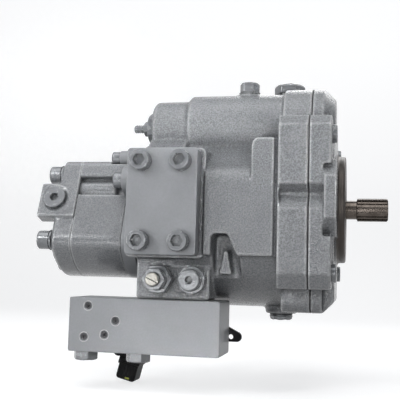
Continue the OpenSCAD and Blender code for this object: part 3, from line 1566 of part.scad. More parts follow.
clip_t = 4;
clip_nose = 5.5;
clip_nose_r = 4.5;
clip_rise = 11;
clip_hole_r = 2.3;
module harness_clip() {
    color(plastic) prism_y(manifold_y1, manifold_y1 + clip_t) difference() {
        union() {
            translate([clip_x + clip_nose, clip_z]) circle(r = clip_nose_r);
            polygon([[clip_x - clip_tail, clip_z - clip_nose_r], [clip_x + clip_nose, clip_z - clip_nose_r],
                     [clip_x + clip_nose + clip_nose_r / 2, clip_z + clip_nose_r * 0.87],
                     [clip_x - clip_tail / 2, clip_z + clip_rise], [clip_x - clip_tail, clip_z + clip_rise]]);
            rounded_rect(clip_x - clip_tail - 6, clip_x, clip_z - clip_nose_r, clip_z + clip_nose_r + 1, 3);
        }
        translate([clip_x, clip_z]) circle(r = clip_hole_r);
        translate([clip_x - clip_tail, clip_z]) circle(r = clip_screw_d / 2 + hole_gap);
    }
}
module clip_screw() {
    color(steel) facing_back(clip_x - clip_tail, manifold_y1 + clip_t, clip_z)
        cap_screw(clip_screw_d, clip_t + clip_thread - 2, 1.7 * clip_screw_d, clip_screw_d);
}

pump_housing();
front_cover();
cover_gasket();
cover_screws();
shaft_seal();
seal_retaining_ring();
front_bearing_outer();
front_bearing_inner();
front_bearing_balls();
rear_bearing_outer();
rear_bearing_inner();
rear_bearing_balls();
drive_shaft();
swash_plate();
swash_cradle();
cradle_liners();
cylinder_barrel();
pistons();
slipper_shoes();
retainer_plate();
ball_guide();
barrel_spring();
valve_plate();
control_piston();
bias_spring();
limiter_cap();
limiter_nut();
limiter_screw();
suction_plate();
suction_plate_screws();
suction_seal_ring();
relief_valve_body();
relief_lock_nut();
relief_adjuster();
relief_poppet();
relief_spring();
valve_plug();
bleed_plug();
case_plug();
drain_plug();
gear_adapter();
gear_body();
gear_cover();
gear_cover_screws();
gear_mount_screws();
gear_port_plug();
drive_gear();
driven_gear();
front_bearing_block();
rear_bearing_block();
coupling_sleeve();
manifold_block();
manifold_set_plugs();
manifold_hex_plugs();
manifold_screws();
solenoid_valve();
solenoid_coil();
solenoid_nut();
harness_clip();
clip_screw();
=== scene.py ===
import bpy
import bmesh
import json
import math
from mathutils import Vector, Matrix


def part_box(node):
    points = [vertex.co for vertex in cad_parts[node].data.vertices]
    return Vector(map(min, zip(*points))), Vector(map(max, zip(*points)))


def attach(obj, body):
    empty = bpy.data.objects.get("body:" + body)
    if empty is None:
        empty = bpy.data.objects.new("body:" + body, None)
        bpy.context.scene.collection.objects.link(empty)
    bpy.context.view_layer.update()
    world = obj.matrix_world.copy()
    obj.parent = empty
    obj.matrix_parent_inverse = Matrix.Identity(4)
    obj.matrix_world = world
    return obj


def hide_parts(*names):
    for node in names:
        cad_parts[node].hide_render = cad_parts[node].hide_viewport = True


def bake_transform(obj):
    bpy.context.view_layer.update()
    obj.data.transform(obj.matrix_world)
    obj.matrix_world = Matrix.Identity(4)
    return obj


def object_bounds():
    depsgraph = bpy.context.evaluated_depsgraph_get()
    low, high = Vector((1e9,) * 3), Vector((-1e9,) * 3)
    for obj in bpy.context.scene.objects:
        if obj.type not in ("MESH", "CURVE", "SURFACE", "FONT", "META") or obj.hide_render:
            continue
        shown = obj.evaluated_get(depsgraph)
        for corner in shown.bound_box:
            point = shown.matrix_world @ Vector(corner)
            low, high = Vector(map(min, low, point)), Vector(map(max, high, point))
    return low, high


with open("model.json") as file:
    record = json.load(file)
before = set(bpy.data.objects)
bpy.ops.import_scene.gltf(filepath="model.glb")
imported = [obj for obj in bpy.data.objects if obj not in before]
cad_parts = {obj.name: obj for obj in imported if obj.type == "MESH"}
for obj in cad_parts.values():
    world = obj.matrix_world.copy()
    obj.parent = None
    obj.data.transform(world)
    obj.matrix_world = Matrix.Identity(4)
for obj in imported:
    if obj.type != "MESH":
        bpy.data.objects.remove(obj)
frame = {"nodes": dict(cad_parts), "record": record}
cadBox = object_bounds()
nodes = frame["nodes"]
scene = bpy.context.scene
slotOf = {part["node"]: part["material_slot"] for part in frame["record"]["subparts"]}
print("pump loaded:", len(nodes), "parts")


# Small helpers for building shader trees
def addNode(tree, kind, settings=None, **attributes):
    node = tree.nodes.new(kind)
    for name, value in attributes.items():
        setattr(node, name, value)
    for name, value in (settings or {}).items():
        node.inputs[name].default_value = value
    return node


def startMaterial(name):
    material = bpy.data.materials.new(name)
    material.use_nodes = True
    tree = material.node_tree
    tree.nodes.clear()
    out = addNode(tree, "ShaderNodeOutputMaterial")
    shader = addNode(tree, "ShaderNodeBsdfPrincipled")
    tree.links.new(shader.outputs["BSDF"], out.inputs["Surface"])
    place = addNode(tree, "ShaderNodeTexCoord")
    return material, tree, shader, place.outputs["Object"]


def noiseAt(tree, place, size, detail, rough, stretch=None):
    if stretch:
        mapping = addNode(tree, "ShaderNodeMapping", {"Scale": stretch})
        tree.links.new(place, mapping.inputs["Vector"])
        place = mapping.outputs["Vector"]
    noise = addNode(tree, "ShaderNodeTexNoise", {"Scale": 1.0 / size, "Detail": detail, "Roughness": rough})
    tree.links.new(place, noise.inputs["Vector"])
    return noise.outputs["Fac"]


# Rounded sand grains: a low dome in each cell, higher in some than in others
def grainsAt(tree, place, size):
    cells = addNode(tree, "ShaderNodeTexVoronoi", {"Scale": 1.0 / size, "Randomness": 1.0})
    tree.links.new(place, cells.inputs["Vector"])
    dome = addNode(tree, "ShaderNodeMath", operation="MULTIPLY")
    tree.links.new(cells.outputs["Distance"], dome.inputs[0])
    tree.links.new(cells.outputs["Distance"], dome.inputs[1])
    height = addNode(tree, "ShaderNodeMath", operation="MULTIPLY")
    tree.links.new(dome.outputs["Value"], height.inputs[0])
    tree.links.new(cells.outputs["Color"], height.inputs[1])
    return height.outputs["Value"]


def ramp(tree, source, low, high, dark, light):
    node = addNode(tree, "ShaderNodeValToRGB")
    first, last = node.color_ramp.elements
    first.position, last.position = low, high
    first.color, last.color = (*dark, 1.0), (*light, 1.0)
    tree.links.new(source, node.inputs["Fac"])
    return node.outputs["Color"]


def spread(tree, source, low, high, fromLow=0.3, fromHigh=0.7):
    node = addNode(tree, "ShaderNodeMapRange",
                   {"From Min": fromLow, "From Max": fromHigh, "To Min": low, "To Max": high})
    tree.links.new(source, node.inputs["Value"])
    return node.outputs["Result"]


def blendColours(tree, how, amount, first, second):
    node = addNode(tree, "ShaderNodeMix", data_type="RGBA", blend_type=how)
    if hasattr(amount, "is_output"):
        tree.links.new(amount, node.inputs[0])
    else:
        node.inputs[0].default_value = amount
    tree.links.new(first, node.inputs[6])
    tree.links.new(second, node.inputs[7])
    return node.outputs[2]


def bump(tree, height, depth, under=None):
    node = addNode(tree, "ShaderNodeBump", {"Distance": depth, "Strength": 1.0})
    tree.links.new(height, node.inputs["Height"])
    if under:
        tree.links.new(under, node.inputs["Normal"])
    return node.outputs["Normal"]


def tint(colour, factor):
    return tuple(min(1.0, c * factor) for c in colour)


# Where each texture starts and stops changing the paint
paintSpans = {"patch": (0.32, 0.68), "speckAndSparkle": (0.35, 0.65), "paintedShade": (0.2, 0.75), "corner": (0.42, 0.495),
              "edge": (0.507, 0.55), "scratchRun": (0.06, 1.0, 1.0), "hollowSamples": 8}
plain = (1, 1, 1)


# Grey paint over cast or machined iron: sand grain, grain specks that are partly painted sparkle, broad waves,
# painted shade in hollows, lighter convex edges that are part worn paint and part painted highlight, painted
# shade in creases
def greyPaint(name, look):
    material, tree, shader, place = startMaterial(name)
    colour = look["colour"]
    grain = noiseAt(tree, place, look["grain"], detail=1.5, rough=0.5)
    patch = noiseAt(tree, place, look["patch"], detail=4.0, rough=0.6)
    uneven = look["uneven"]
    base = ramp(tree, patch, *paintSpans["patch"], tint(colour, 1 - uneven), tint(colour, 1 + uneven))
    # Grain specks painted into the colour: part random grain tone, part painted sparkle in place of glints
    speckAndSparkle = ramp(tree, grain, *paintSpans["speckAndSparkle"], tint(plain, 1 - look["speckAndSparkle"]), plain)
    base = blendColours(tree, "MULTIPLY", 1.0, base, speckAndSparkle)
    # Painted shade: the colour is darkened in hollows, sockets and seams by ambient occlusion
    hollow = addNode(tree, "ShaderNodeAmbientOcclusion", {"Distance": look["hollow"]},
                     samples=paintSpans["hollowSamples"])
    paintedShade = ramp(tree, hollow.outputs["AO"], *paintSpans["paintedShade"], tint(plain, 1 - look["paintedShade"]), plain)
    base = blendColours(tree, "MULTIPLY", 1.0, base, paintedShade)
    # Painted light from the mesh's pointiness: convex edges lighter, part worn paint and part painted
    # highlight; concave creases darker as painted shade
    if look.get("edge"):
        shape = addNode(tree, "ShaderNodeNewGeometry").outputs["Pointiness"]
        corner = ramp(tree, shape, *paintSpans["corner"], tint(plain, 1 - look["corner"]), plain)
        base = blendColours(tree, "MULTIPLY", 1.0, base, corner)
        edge = ramp(tree, shape, *paintSpans["edge"], (0, 0, 0), tint(plain, look["edge"]))
        base = blendColours(tree, "ADD", 1.0, base, edge)
    tree.links.new(base, shader.inputs["Base Color"])
    rough, roughSpread = look["rough"], look["roughSpread"]
    tree.links.new(spread(tree, patch, rough - roughSpread, rough + roughSpread), shader.inputs["Roughness"])
    shader.inputs["Metallic"].default_value = look["metal"]
    shader.inputs["Specular IOR Level"].default_value = look["specular"]
    normal = bump(tree, patch, look["wave"])
    normal = bump(tree, grain, look["grainDepth"], normal)
    if look.get("sand"):
        normal = bump(tree, grainsAt(tree, place, look["sand"]), -look["sandDepth"], normal)
    if look.get("scratch"):
        lines = noiseAt(tree, place, look["scratch"], detail=2.0, rough=0.6, stretch=paintSpans["scratchRun"])
        normal = bump(tree, lines, look["scratchDepth"], normal)
    tree.links.new(normal, shader.inputs["Normal"])
    return material


metalSpans = {"patch": (0.3, 0.7), "dark": 0.78, "light": 1.15, "markRun": (1.0, 0.08, 0.08), "stainSize": 0.35,
              "stain": (0.45, 0.7), "smoother": 0.07, "rougher": 0.09}


# Bare turned or ground metal, with fine tool marks round the shaft axis
def bareMetal(name, look):
    material, tree, shader, place = startMaterial(name)
    colour = look["colour"]
    patch = noiseAt(tree, place, look["patch"], detail=4.0, rough=0.6)
    marks = noiseAt(tree, place, look["marks"], detail=2.0, rough=0.5, stretch=metalSpans["markRun"])
    base = ramp(tree, patch, *metalSpans["patch"], tint(colour, metalSpans["dark"]),
                tint(colour, metalSpans["light"]))
    if look.get("stain"):
        stain = noiseAt(tree, place, look["patch"] * metalSpans["stainSize"], detail=5.0, rough=0.7)
        amount = spread(tree, stain, 0.0, look["stainAmount"], *metalSpans["stain"])
        stained = ramp(tree, stain, 0.0, 1.0, look["stain"], look["stain"])
        base = blendColours(tree, "MIX", amount, base, stained)
    tree.links.new(base, shader.inputs["Base Color"])
    rough = spread(tree, marks, look["rough"] - metalSpans["smoother"], look["rough"] + metalSpans["rougher"])
    tree.links.new(rough, shader.inputs["Roughness"])
    shader.inputs["Metallic"].default_value = look["metal"]
    normal = bump(tree, marks, look["markDepth"])
    tree.links.new(normal, shader.inputs["Normal"])
    return material


mouldSpans = {"patchSize": 0.012, "patch": (0.3, 0.7), "dark": 0.75, "light": 1.35, "smoother": 0.06,
              "rougher": 0.08}


# Moulded plastic or rubber, with a fine spark-eroded grain
def moulding(name, look):
    material, tree, shader, place = startMaterial(name)
    grain = noiseAt(tree, place, look["grain"], detail=2.0, rough=0.5)
    patch = noiseAt(tree, place, mouldSpans["patchSize"], detail=4.0, rough=0.6)
    base = ramp(tree, patch, *mouldSpans["patch"], tint(look["colour"], mouldSpans["dark"]),
                tint(look["colour"], mouldSpans["light"]))
    tree.links.new(base, shader.inputs["Base Color"])
    rough = spread(tree, patch, look["rough"] - mouldSpans["smoother"], look["rough"] + mouldSpans["rougher"])
    tree.links.new(rough, shader.inputs["Roughness"])
    shader.inputs["Specular IOR Level"].default_value = look["specular"]
    tree.links.new(bump(tree, grain, look["grainDepth"]), shader.inputs["Normal"])
    return material


# In the grey paints some amounts paint light into the colour: sparkle in the grain specks, highlights on convex
# edges, shade in hollows and creases
finishes = {
    "castPaint": {"colour": (0.175, 0.182, 0.192), "metal": 0.12, "rough": 0.17, "roughSpread": 0.03,
                  "specular": 0.6, "grain": 0.0012, "grainDepth": 0.00012, "patch": 0.03, "uneven": 0.06,
                  "wave": 0.0006, "speckAndSparkle": 0.42, "edge": 0.15, "corner": 0.4, "sand": 0.0012,
                  "sandDepth": 0.0006, "hollow": 0.009, "paintedShade": 0.4},
    "smoothPaint": {"colour": (0.2, 0.207, 0.218), "metal": 0.1, "rough": 0.42, "roughSpread": 0.04,
                    "specular": 0.35, "grain": 0.0016, "grainDepth": 0.00005, "patch": 0.03, "uneven": 0.05,
                    "wave": 0.0003, "speckAndSparkle": 0.06, "scratch": 0.0012, "scratchDepth": 0.00003,
                    "hollow": 0.01, "paintedShade": 0.5},
    "fastenerPaint": {"colour": (0.15, 0.156, 0.165), "metal": 0.3, "rough": 0.25, "roughSpread": 0.05,
                      "specular": 0.8, "grain": 0.0018, "grainDepth": 0.00012, "patch": 0.008, "uneven": 0.1,
                      "wave": 0.0002, "speckAndSparkle": 0.08, "hollow": 0.006, "paintedShade": 0.75},
    "shaftSteel": {"colour": (0.1, 0.085, 0.074), "metal": 0.9, "rough": 0.22, "patch": 0.02, "marks": 0.0006,
                   "markDepth": 0.00004, "stain": (0.035, 0.027, 0.022), "stainAmount": 0.6},
    "wornEdge": {"colour": (0.42, 0.42, 0.42), "metal": 0.6, "rough": 0.4, "patch": 0.004, "marks": 0.0004,
                 "markDepth": 0.00002},
    "pilotIron": {"colour": (0.05, 0.043, 0.038), "metal": 0.7, "rough": 0.4, "patch": 0.025, "marks": 0.0007,
                  "markDepth": 0.00005, "stain": (0.04, 0.032, 0.027), "stainAmount": 0.6},
    "innerSteel": {"colour": (0.52, 0.51, 0.5), "metal": 1.0, "rough": 0.3, "patch": 0.015, "marks": 0.0005,
                   "markDepth": 0.00003},
    "bronze": {"colour": (0.56, 0.36, 0.17), "metal": 1.0, "rough": 0.34, "patch": 0.012, "marks": 0.0005,
               "markDepth": 0.00003},
    "zinc": {"colour": (0.3, 0.29, 0.265), "metal": 1.0, "rough": 0.36, "patch": 0.006, "marks": 0.0004,
             "markDepth": 0.00002},
    "blackSteel": {"colour": (0.05, 0.05, 0.052), "metal": 0.6, "rough": 0.4, "patch": 0.006, "marks": 0.0005,
                   "markDepth": 0.00003},
    "blackPlastic": {"colour": (0.005, 0.005, 0.0055), "rough": 0.4, "specular": 0.06, "grain": 0.0006,
                     "grainDepth": 0.00004},
    "blackRubber": {"colour": (0.01, 0.01, 0.01), "rough": 0.55, "specular": 0.2, "grain": 0.0005,
                    "grainDepth": 0.00005},
    "sealRubber": {"colour": (0.27, 0.3, 0.05), "rough": 0.5, "specular": 0.3, "grain": 0.0006,
                   "grainDepth": 0.00003},
}
finishes["gearPaint"] = {**finishes["castPaint"], "sandDepth": 0.0002}  # the gear pump's castings are finer
paints = {
    "cast_paint": greyPaint("castPaint", finishes["castPaint"]),
    "gear_paint": greyPaint("gearPaint", finishes["gearPaint"]),
    "smooth_paint": greyPaint("smoothPaint", finishes["smoothPaint"]),
    "fastener_paint": greyPaint("fastenerPaint", finishes["fastenerPaint"]),
    "shaft_steel": bareMetal("shaftSteel", finishes["shaftSteel"]),
    "inner_steel": bareMetal("innerSteel", finishes["innerSteel"]),
    "bronze": bareMetal("bronze", finishes["bronze"]),
    "zinc": bareMetal("zincPlate", finishes["zinc"]),
    "black_steel": bareMetal("blackSteel", finishes["blackSteel"]),
    "black_plastic": moulding("blackPlastic", finishes["blackPlastic"]),
    "black_rubber": moulding("blackRubber", finishes["blackRubber"]),
}
print("finishes mixed:", len(paints))


# Shading by angle for the machined parts, as a modifier that leaves the part's own mesh alone
def makeSmoothGroup(angle):
    group = bpy.data.node_groups.new("smoothFaces", "GeometryNodeTree")
    group.interface.new_socket("Geometry", in_out="INPUT", socket_type="NodeSocketGeometry")
    group.interface.new_socket("Geometry", in_out="OUTPUT", socket_type="NodeSocketGeometry")
    start = group.nodes.new("NodeGroupInput")
    end = group.nodes.new("NodeGroupOutput")
    faces = group.nodes.new("GeometryNodeSetShadeSmooth")
    edges = group.nodes.new("GeometryNodeSetShadeSmooth")
    edges.domain = "EDGE"
    turn = group.nodes.new("GeometryNodeInputMeshEdgeAngle")
    flat = group.nodes.new("FunctionNodeCompare")
    flat.data_type, flat.operation = "FLOAT", "LESS_THAN"
    flat.inputs[1].default_value = angle
    group.links.new(start.outputs[0], faces.inputs["Geometry"])
    group.links.new(faces.outputs[0], edges.inputs["Geometry"])
    group.links.new(turn.outputs["Unsigned Angle"], flat.inputs[0])
    group.links.new(flat.outputs[0], edges.inputs["Shade Smooth"])
    group.links.new(edges.outputs[0], end.inputs[0])
    return group


shadeAngle = 32.0  # degrees; sharper edges stay crisp
smoothGroup = makeSmoothGroup(math.radians(shadeAngle))
mergeGap = 0.000002
edgeBreak = {"flatWithin": 0.4, "sharperThan": 34.0, "segments": 2}  # degrees
edgeWidths = {"default": 0.00035, "suction_plate": 0.0013, "manifold_block": 0.001, "gear_adapter": 0.001,
              "solenoid_coil": 0.0006, "drive_shaft": 0.0002, "case_plug": 0.0014, "bleed_plug": 0.0012,
              "drain_plug": 0.0012, "suction_plate_screws": 0.0007, "gear_mount_screws": 0.0009,
              "gear_cover_screws": 0.0009, "gear_port_plug": 0.0006, "valve_plug": 0.0007,
              "relief_valve_body": 0.0006, "relief_lock_nut": 0.0006, "manifold_hex_plugs": 0.0008}


def breakEdges(part, width):
    weld = part.modifiers.new("join", "WELD")
    weld.merge_threshold = mergeGap
    plane = part.modifiers.new("planes", "DECIMATE")
    plane.decimate_type = "DISSOLVE"
    plane.angle_limit = math.radians(edgeBreak["flatWithin"])
    edge = part.modifiers.new("edges", "BEVEL")
    edge.limit_method, edge.angle_limit = "ANGLE", math.radians(edgeBreak["sharperThan"])
    edge.width, edge.segments = width, edgeBreak["segments"]
    edge.use_clamp_overlap = False
    edge.miter_outer = "MITER_ARC"
    smooth = part.modifiers.new("smooth", "NODES")
    smooth.node_group = smoothGroup
    flatten = part.modifiers.new("flatten", "WEIGHTED_NORMAL")  # broad faces stay flat beside their edges
    flatten.keep_sharp = True


# Castings get a fresh skin with rounded edges and filled corners; machined faces stay flat
# flat: the axis and level of each machined face
castings = {
    "pump_housing": {"voxel": 0.0013, "passes": 5,
                     "flat": [(0, -0.0238), (0, -0.18705), (1, -0.085), (1, 0.085)]},
    "front_cover": {"voxel": 0.0012, "passes": 5, "flat": [(0, -0.023), (0, 0.0)]},
    "gear_body": {"voxel": 0.001, "passes": 12, "paint": "gear_paint",
                  "flat": [(0, -0.20005), (0, -0.25005)]},
    "gear_cover": {"voxel": 0.001, "passes": 12, "paint": "gear_paint", "flat": [(0, -0.25005)]},
}
flatBand = 1.2  # voxels on each side of a machined face that stay put
softening = 0.5  # share of the way to the neighbours in one smoothing pass


def bakeModifiers(piece):
    ready = piece.evaluated_get(bpy.context.evaluated_depsgraph_get())
    mesh = bpy.data.meshes.new_from_object(ready)
    piece.modifiers.clear()
    piece.data = mesh


def castSkin(name, look):
    source = nodes[name]
    mesh = bpy.data.meshes.new(name + "Skin")
    work = bmesh.new()
    work.from_mesh(source.data)
    bmesh.ops.remove_doubles(work, verts=work.verts, dist=mergeGap)
    work.to_mesh(mesh)
    work.free()
    piece = bpy.data.objects.new(name + "Skin", mesh)
    scene.collection.objects.link(piece)
    skin = piece.modifiers.new("skin", "REMESH")
    skin.mode, skin.voxel_size, skin.use_smooth_shade = "VOXEL", look["voxel"], True
    bakeModifiers(piece)
    loose = piece.vertex_groups.new(name="loose")
    snug = piece.vertex_groups.new(name="snug")
    for vertex in piece.data.vertices:
        near = min(abs(vertex.co[axis] - level) for axis, level in look["flat"])
        free = min(1.0, max(0.0, near / look["voxel"] - flatBand))
        loose.add([vertex.index], free, "REPLACE")
        snug.add([vertex.index], 1.0 - free, "REPLACE")
    soft = piece.modifiers.new("soft", "SMOOTH")
    soft.factor, soft.iterations, soft.vertex_group = softening, look["passes"], "loose"
    fit = piece.modifiers.new("fit", "SHRINKWRAP")  # sharp again where two machined faces meet
    fit.target, fit.wrap_method, fit.vertex_group = source, "NEAREST_SURFACEPOINT", "snug"
    bakeModifiers(piece)
    piece.data.materials.clear()
    piece.data.materials.append(paints[look.get("paint", slotOf[name])])
    for face in piece.data.polygons:
        face.use_smooth = True
        face.material_index = 0
    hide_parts(name)
    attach(piece, "housing")
    print("casting", name, len(piece.data.polygons), "faces")
    return piece


skins = {name: castSkin(name, look) for name, look in castings.items()}

# The pilot and the shaft bore are bare machined iron
pilot = {"from": -0.0018, "radius": 0.053}
skins["front_cover"].data.materials.append(bareMetal("pilotIron", finishes["pilotIron"]))
for face in skins["front_cover"].data.polygons:
    if face.center.x > pilot["from"] and math.hypot(face.center.y, face.center.z) < pilot["radius"]:
        face.material_index = 1


# Screwed rod along X: a ridge winding round a turned core, with tapered ends
stud = {"name": "limiterStud", "node": "limiter_screw", "body": "limiter", "pitch": 0.002, "depth": 0.0006,
        "crest": 1.5, "flank": 3.0, "around": 40, "rows": 8, "taper": 0.001}


def screwedRod(look):
    low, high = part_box(look["node"])
    radius = (high[1] - low[1]) / 2
    centre = ((high[1] + low[1]) / 2, (high[2] + low[2]) / 2)
    count = round((high[0] - low[0]) / look["pitch"] * look["rows"])
    work = bmesh.new()
    rings = []
    for row in range(count + 1):
        x = low[0] + (high[0] - low[0]) * row / count
        end = min(x - low[0], high[0] - x)
        ring = []
        for step in range(look["around"]):
            phase = (x / look["pitch"] + step / look["around"]) % 1.0
            ridge = min(1.0, max(0.0, look["crest"] - look["flank"] * abs(phase - 0.5)))
            reach = min(radius - look["depth"] * (1 - ridge), radius - look["taper"] + end)
            angle = 2 * math.pi * step / look["around"]
            ring.append(work.verts.new((x, centre[0] + reach * math.cos(angle),
                                        centre[1] + reach * math.sin(angle))))
        rings.append(ring)
    for one, two in zip(rings, rings[1:]):
        for step in range(look["around"]):
            after = (step + 1) % look["around"]
            work.faces.new((one[step], one[after], two[after], two[step]))
    work.faces.new(rings[0][::-1])
    work.faces.new(rings[-1])
    bmesh.ops.recalc_face_normals(work, faces=work.faces)
    mesh = bpy.data.meshes.new(look["name"])
    work.to_mesh(mesh)
    work.free()
    for face in mesh.polygons:
        face.use_smooth = len(face.vertices) == 4  # the two end faces stay flat
    piece = bpy.data.objects.new(look["name"], mesh)
    scene.collection.objects.link(piece)
    mesh.materials.append(paints[slotOf[look["node"]]])
    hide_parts(look["node"])
    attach(piece, look["body"])


screwedRod(stud)
print("stud threaded")

# Springs, copied from their parts with their finish and fixed in place
springs = {
    "relief_spring": {"name": "reliefSpring", "body": "poppet", "fixed": (-0.15505, -0.0769, -0.07),
                      "moving": (-0.15505, -0.0591, -0.07)},
    "bias_spring": {"name": "biasSpring", "body": "control", "fixed": (-0.0072, -0.02, 0.077),
                    "moving": (-0.0347, -0.02, 0.077)},
}


def pressedSpring(node, look):
    mesh = nodes[node].data.copy()
    piece = bpy.data.objects.new(look["name"], mesh)
    scene.collection.objects.link(piece)
    mesh.materials.clear()
    mesh.materials.append(paints[slotOf[node]])
    for face in mesh.polygons:
        face.use_smooth = True
        face.material_index = 0
    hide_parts(node)
    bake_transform(piece)


for node, look in springs.items():
    pressedSpring(node, look)
print("springs fitted")


# Turns a drawn shape into a piece fixed to the case
def finishPiece(name, work, material):
    bmesh.ops.recalc_face_normals(work, faces=work.faces)
    mesh = bpy.data.meshes.new(name)
    work.to_mesh(mesh)
    work.free()
    for face in mesh.polygons:
        face.use_smooth = True
    piece = bpy.data.objects.new(name, mesh)
    scene.collection.objects.link(piece)
    mesh.materials.append(material)
    smooth = piece.modifiers.new("smooth", "NODES")
    smooth.node_group = smoothGroup
    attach(piece, "housing")


# Worn bright lips round the small plugs in the block's front face
plugLips = {"places": [(-0.21805, -0.0955), (-0.19205, -0.108), (-0.22105, -0.123), (-0.20205, -0.1205)],
            "face": -0.085, "radius": 0.0043, "half": 0.00025, "corner": 0.4, "sunk": 0.0004, "around": 40}


def makePlugLips(look):
    work = bmesh.new()
    half, sunk = look["half"], look["sunk"]
    inner = half * look["corner"]
    section = [(-half, sunk), (-half, -inner), (-inner, -half), (inner, -half), (half, -inner), (half, sunk)]
    for x, z in look["places"]:
        rings = []
        for step in range(look["around"]):
            angle = 2 * math.pi * step / look["around"]
            across, along = math.cos(angle), math.sin(angle)
            rings.append([work.verts.new((x + (look["radius"] + out) * across, look["face"] + depth,
                                          z + (look["radius"] + out) * along)) for out, depth in section])
        for one, two in zip(rings, rings[1:] + rings[:1]):
            for corner in range(len(section)):
                after = (corner + 1) % len(section)
                work.faces.new((one[corner], one[after], two[after], two[corner]))
    finishPiece("plugLips", work, bareMetal("wornEdge", finishes["wornEdge"]))


makePlugLips(plugLips)

# Ribs, latch, pad and seal tab on the coil's connector, laid out along its own leaning axis
connector = {
    "top": (-0.18705, -0.1185), "lean": 14.0, "front": -0.029, "back": -0.010, "half": 0.0095, "foot": 0.05,
    "sunk": 0.001,  # how far each piece reaches into the moulding
    "ribs": {"sides": [-0.0066, -0.0033, 0.0, 0.0033, 0.0066], "half": 0.0006, "proud": 0.0007, "from": 0.0355,
             "short": 0.003, "taper": 0.0002},
    "latch": {"proud": 0.003, "inset": 0.005, "drops": (0.0225, 0.0375), "taper": 0.0004},
    "pad": {"half": 0.006, "proud": 0.0012, "drops": (0.0225, 0.029), "taper": 0.0006},
    "seal": {"sides": (-0.0005, 0.0042), "proud": 0.0005, "lifts": (0.0032, 0.0012), "taper": 0.0003},
}


def boxBetween(work, look, sides, depths, drops, taper):
    lean = math.radians(look["lean"])
    corners = []
    top, cosLean, sinLean = look["top"], math.cos(lean), math.sin(lean)
    for depth, shrink in zip(depths, (taper, 0.0)):
        for side, drop in ((sides[0] + shrink, drops[0] + shrink), (sides[1] - shrink, drops[0] + shrink),
                           (sides[1] - shrink, drops[1] - shrink), (sides[0] + shrink, drops[1] - shrink)):
            corners.append(work.verts.new((top[0] + side * cosLean - drop * sinLean, depth,
                                           top[1] - side * sinLean - drop * cosLean)))
    work.faces.new(corners[3::-1])
    work.faces.new(corners[4:])
    for step in range(4):
        after = (step + 1) % 4
        work.faces.new((corners[step], corners[after], corners[4 + after], corners[4 + step]))


def makeConnector(look):
    front, foot, inside = look["front"], look["foot"], look["front"] + look["sunk"]
    ribs, latch, pad, seal = look["ribs"], look["latch"], look["pad"], look["seal"]
    work = bmesh.new()
    for rib in ribs["sides"]:
        boxBetween(work, look, (rib - ribs["half"], rib + ribs["half"]), (front - ribs["proud"], inside),
                   (ribs["from"], foot - ribs["short"]), ribs["taper"])
    boxBetween(work, look, (-look["half"] - latch["proud"], -look["half"] + look["sunk"]),
               (front + latch["inset"], look["back"] - latch["inset"]), latch["drops"], latch["taper"])
    boxBetween(work, look, (-pad["half"], pad["half"]), (front - pad["proud"], inside), pad["drops"],
               pad["taper"])
    finishPiece("connectorRibs", work, paints["black_plastic"])
    work = bmesh.new()
    boxBetween(work, look, seal["sides"], (front - seal["proud"], inside),
               (foot - seal["lifts"][0], foot - seal["lifts"][1]), seal["taper"])
    finishPiece("connectorSeal", work, moulding("sealRubber", finishes["sealRubber"]))


makeConnector(connector)
print("small pieces made")

for name, part in nodes.items():
    part.data.materials.clear()
    part.data.materials.append(paints[slotOf[name]])
    if name not in castings:
        breakEdges(part, edgeWidths.get(name, edgeWidths["default"]))
print("parts finished")

# Camera at the photograph's angle
view = {"around": 12.0, "above": -5.5, "roll": 1.55, "lens": 67.5, "sensor": 36.0, "nearest": 0.01,
        "distance": 0.7185, "aside": -0.1334, "up": 0.00598}


def setCamera(look):
    around, above, roll = (math.radians(look[key]) for key in ("around", "above", "roll"))
    back = Vector((math.sin(around) * math.cos(above), -math.cos(around) * math.cos(above), math.sin(above)))
    right = Vector((math.cos(around), math.sin(around), 0.0))
    upward = right.cross(-back)
    place = back * look["distance"] + right * look["aside"] + upward * look["up"]
    turnedRight = right * math.cos(roll) + upward * math.sin(roll)
    turnedUp = upward * math.cos(roll) - right * math.sin(roll)
    lens = bpy.data.cameras.new("camera")
    lens.lens, lens.sensor_width, lens.clip_start = look["lens"], look["sensor"], look["nearest"]
    camera = bpy.data.objects.new("camera", lens)
    camera.matrix_world = Matrix((
        (turnedRight.x, turnedUp.x, back.x, place.x), (turnedRight.y, turnedUp.y, back.y, place.y),
        (turnedRight.z, turnedUp.z, back.z, place.z), (0, 0, 0, 1)))
    scene.collection.objects.link(camera)
    scene.camera = camera


setCamera(view)

# Floor that sweeps up into a pale backdrop, shown evenly pale but giving little light back
floorLook = {"clear": 0.001, "near": -2.2, "bend": 1.1, "height": 3.0, "radius": 0.9, "steps": 12,
             "halfWidth": 3.2, "tone": (0.42, 0.422, 0.425), "uneven": 0.985, "patch": 0.6, "rough": 0.9,
             "specular": 0.1, "glow": (0.985, 0.99, 1.0, 1.0), "glowLow": 0.66, "glowHigh": 0.82,
             "glowRise": 0.9, "bounce": 0.32}


# Rays that show the pale backdrop: straight from the camera, or by way of metal and glass
def seenRays(tree):
    path = addNode(tree, "ShaderNodeLightPath")
    total = path.outputs["Is Camera Ray"]
    for kind in ("Is Glossy Ray", "Is Transmission Ray"):
        either = addNode(tree, "ShaderNodeMath", operation="MAXIMUM")
        tree.links.new(total, either.inputs[0])
        tree.links.new(path.outputs[kind], either.inputs[1])
        total = either.outputs["Value"]
    return total


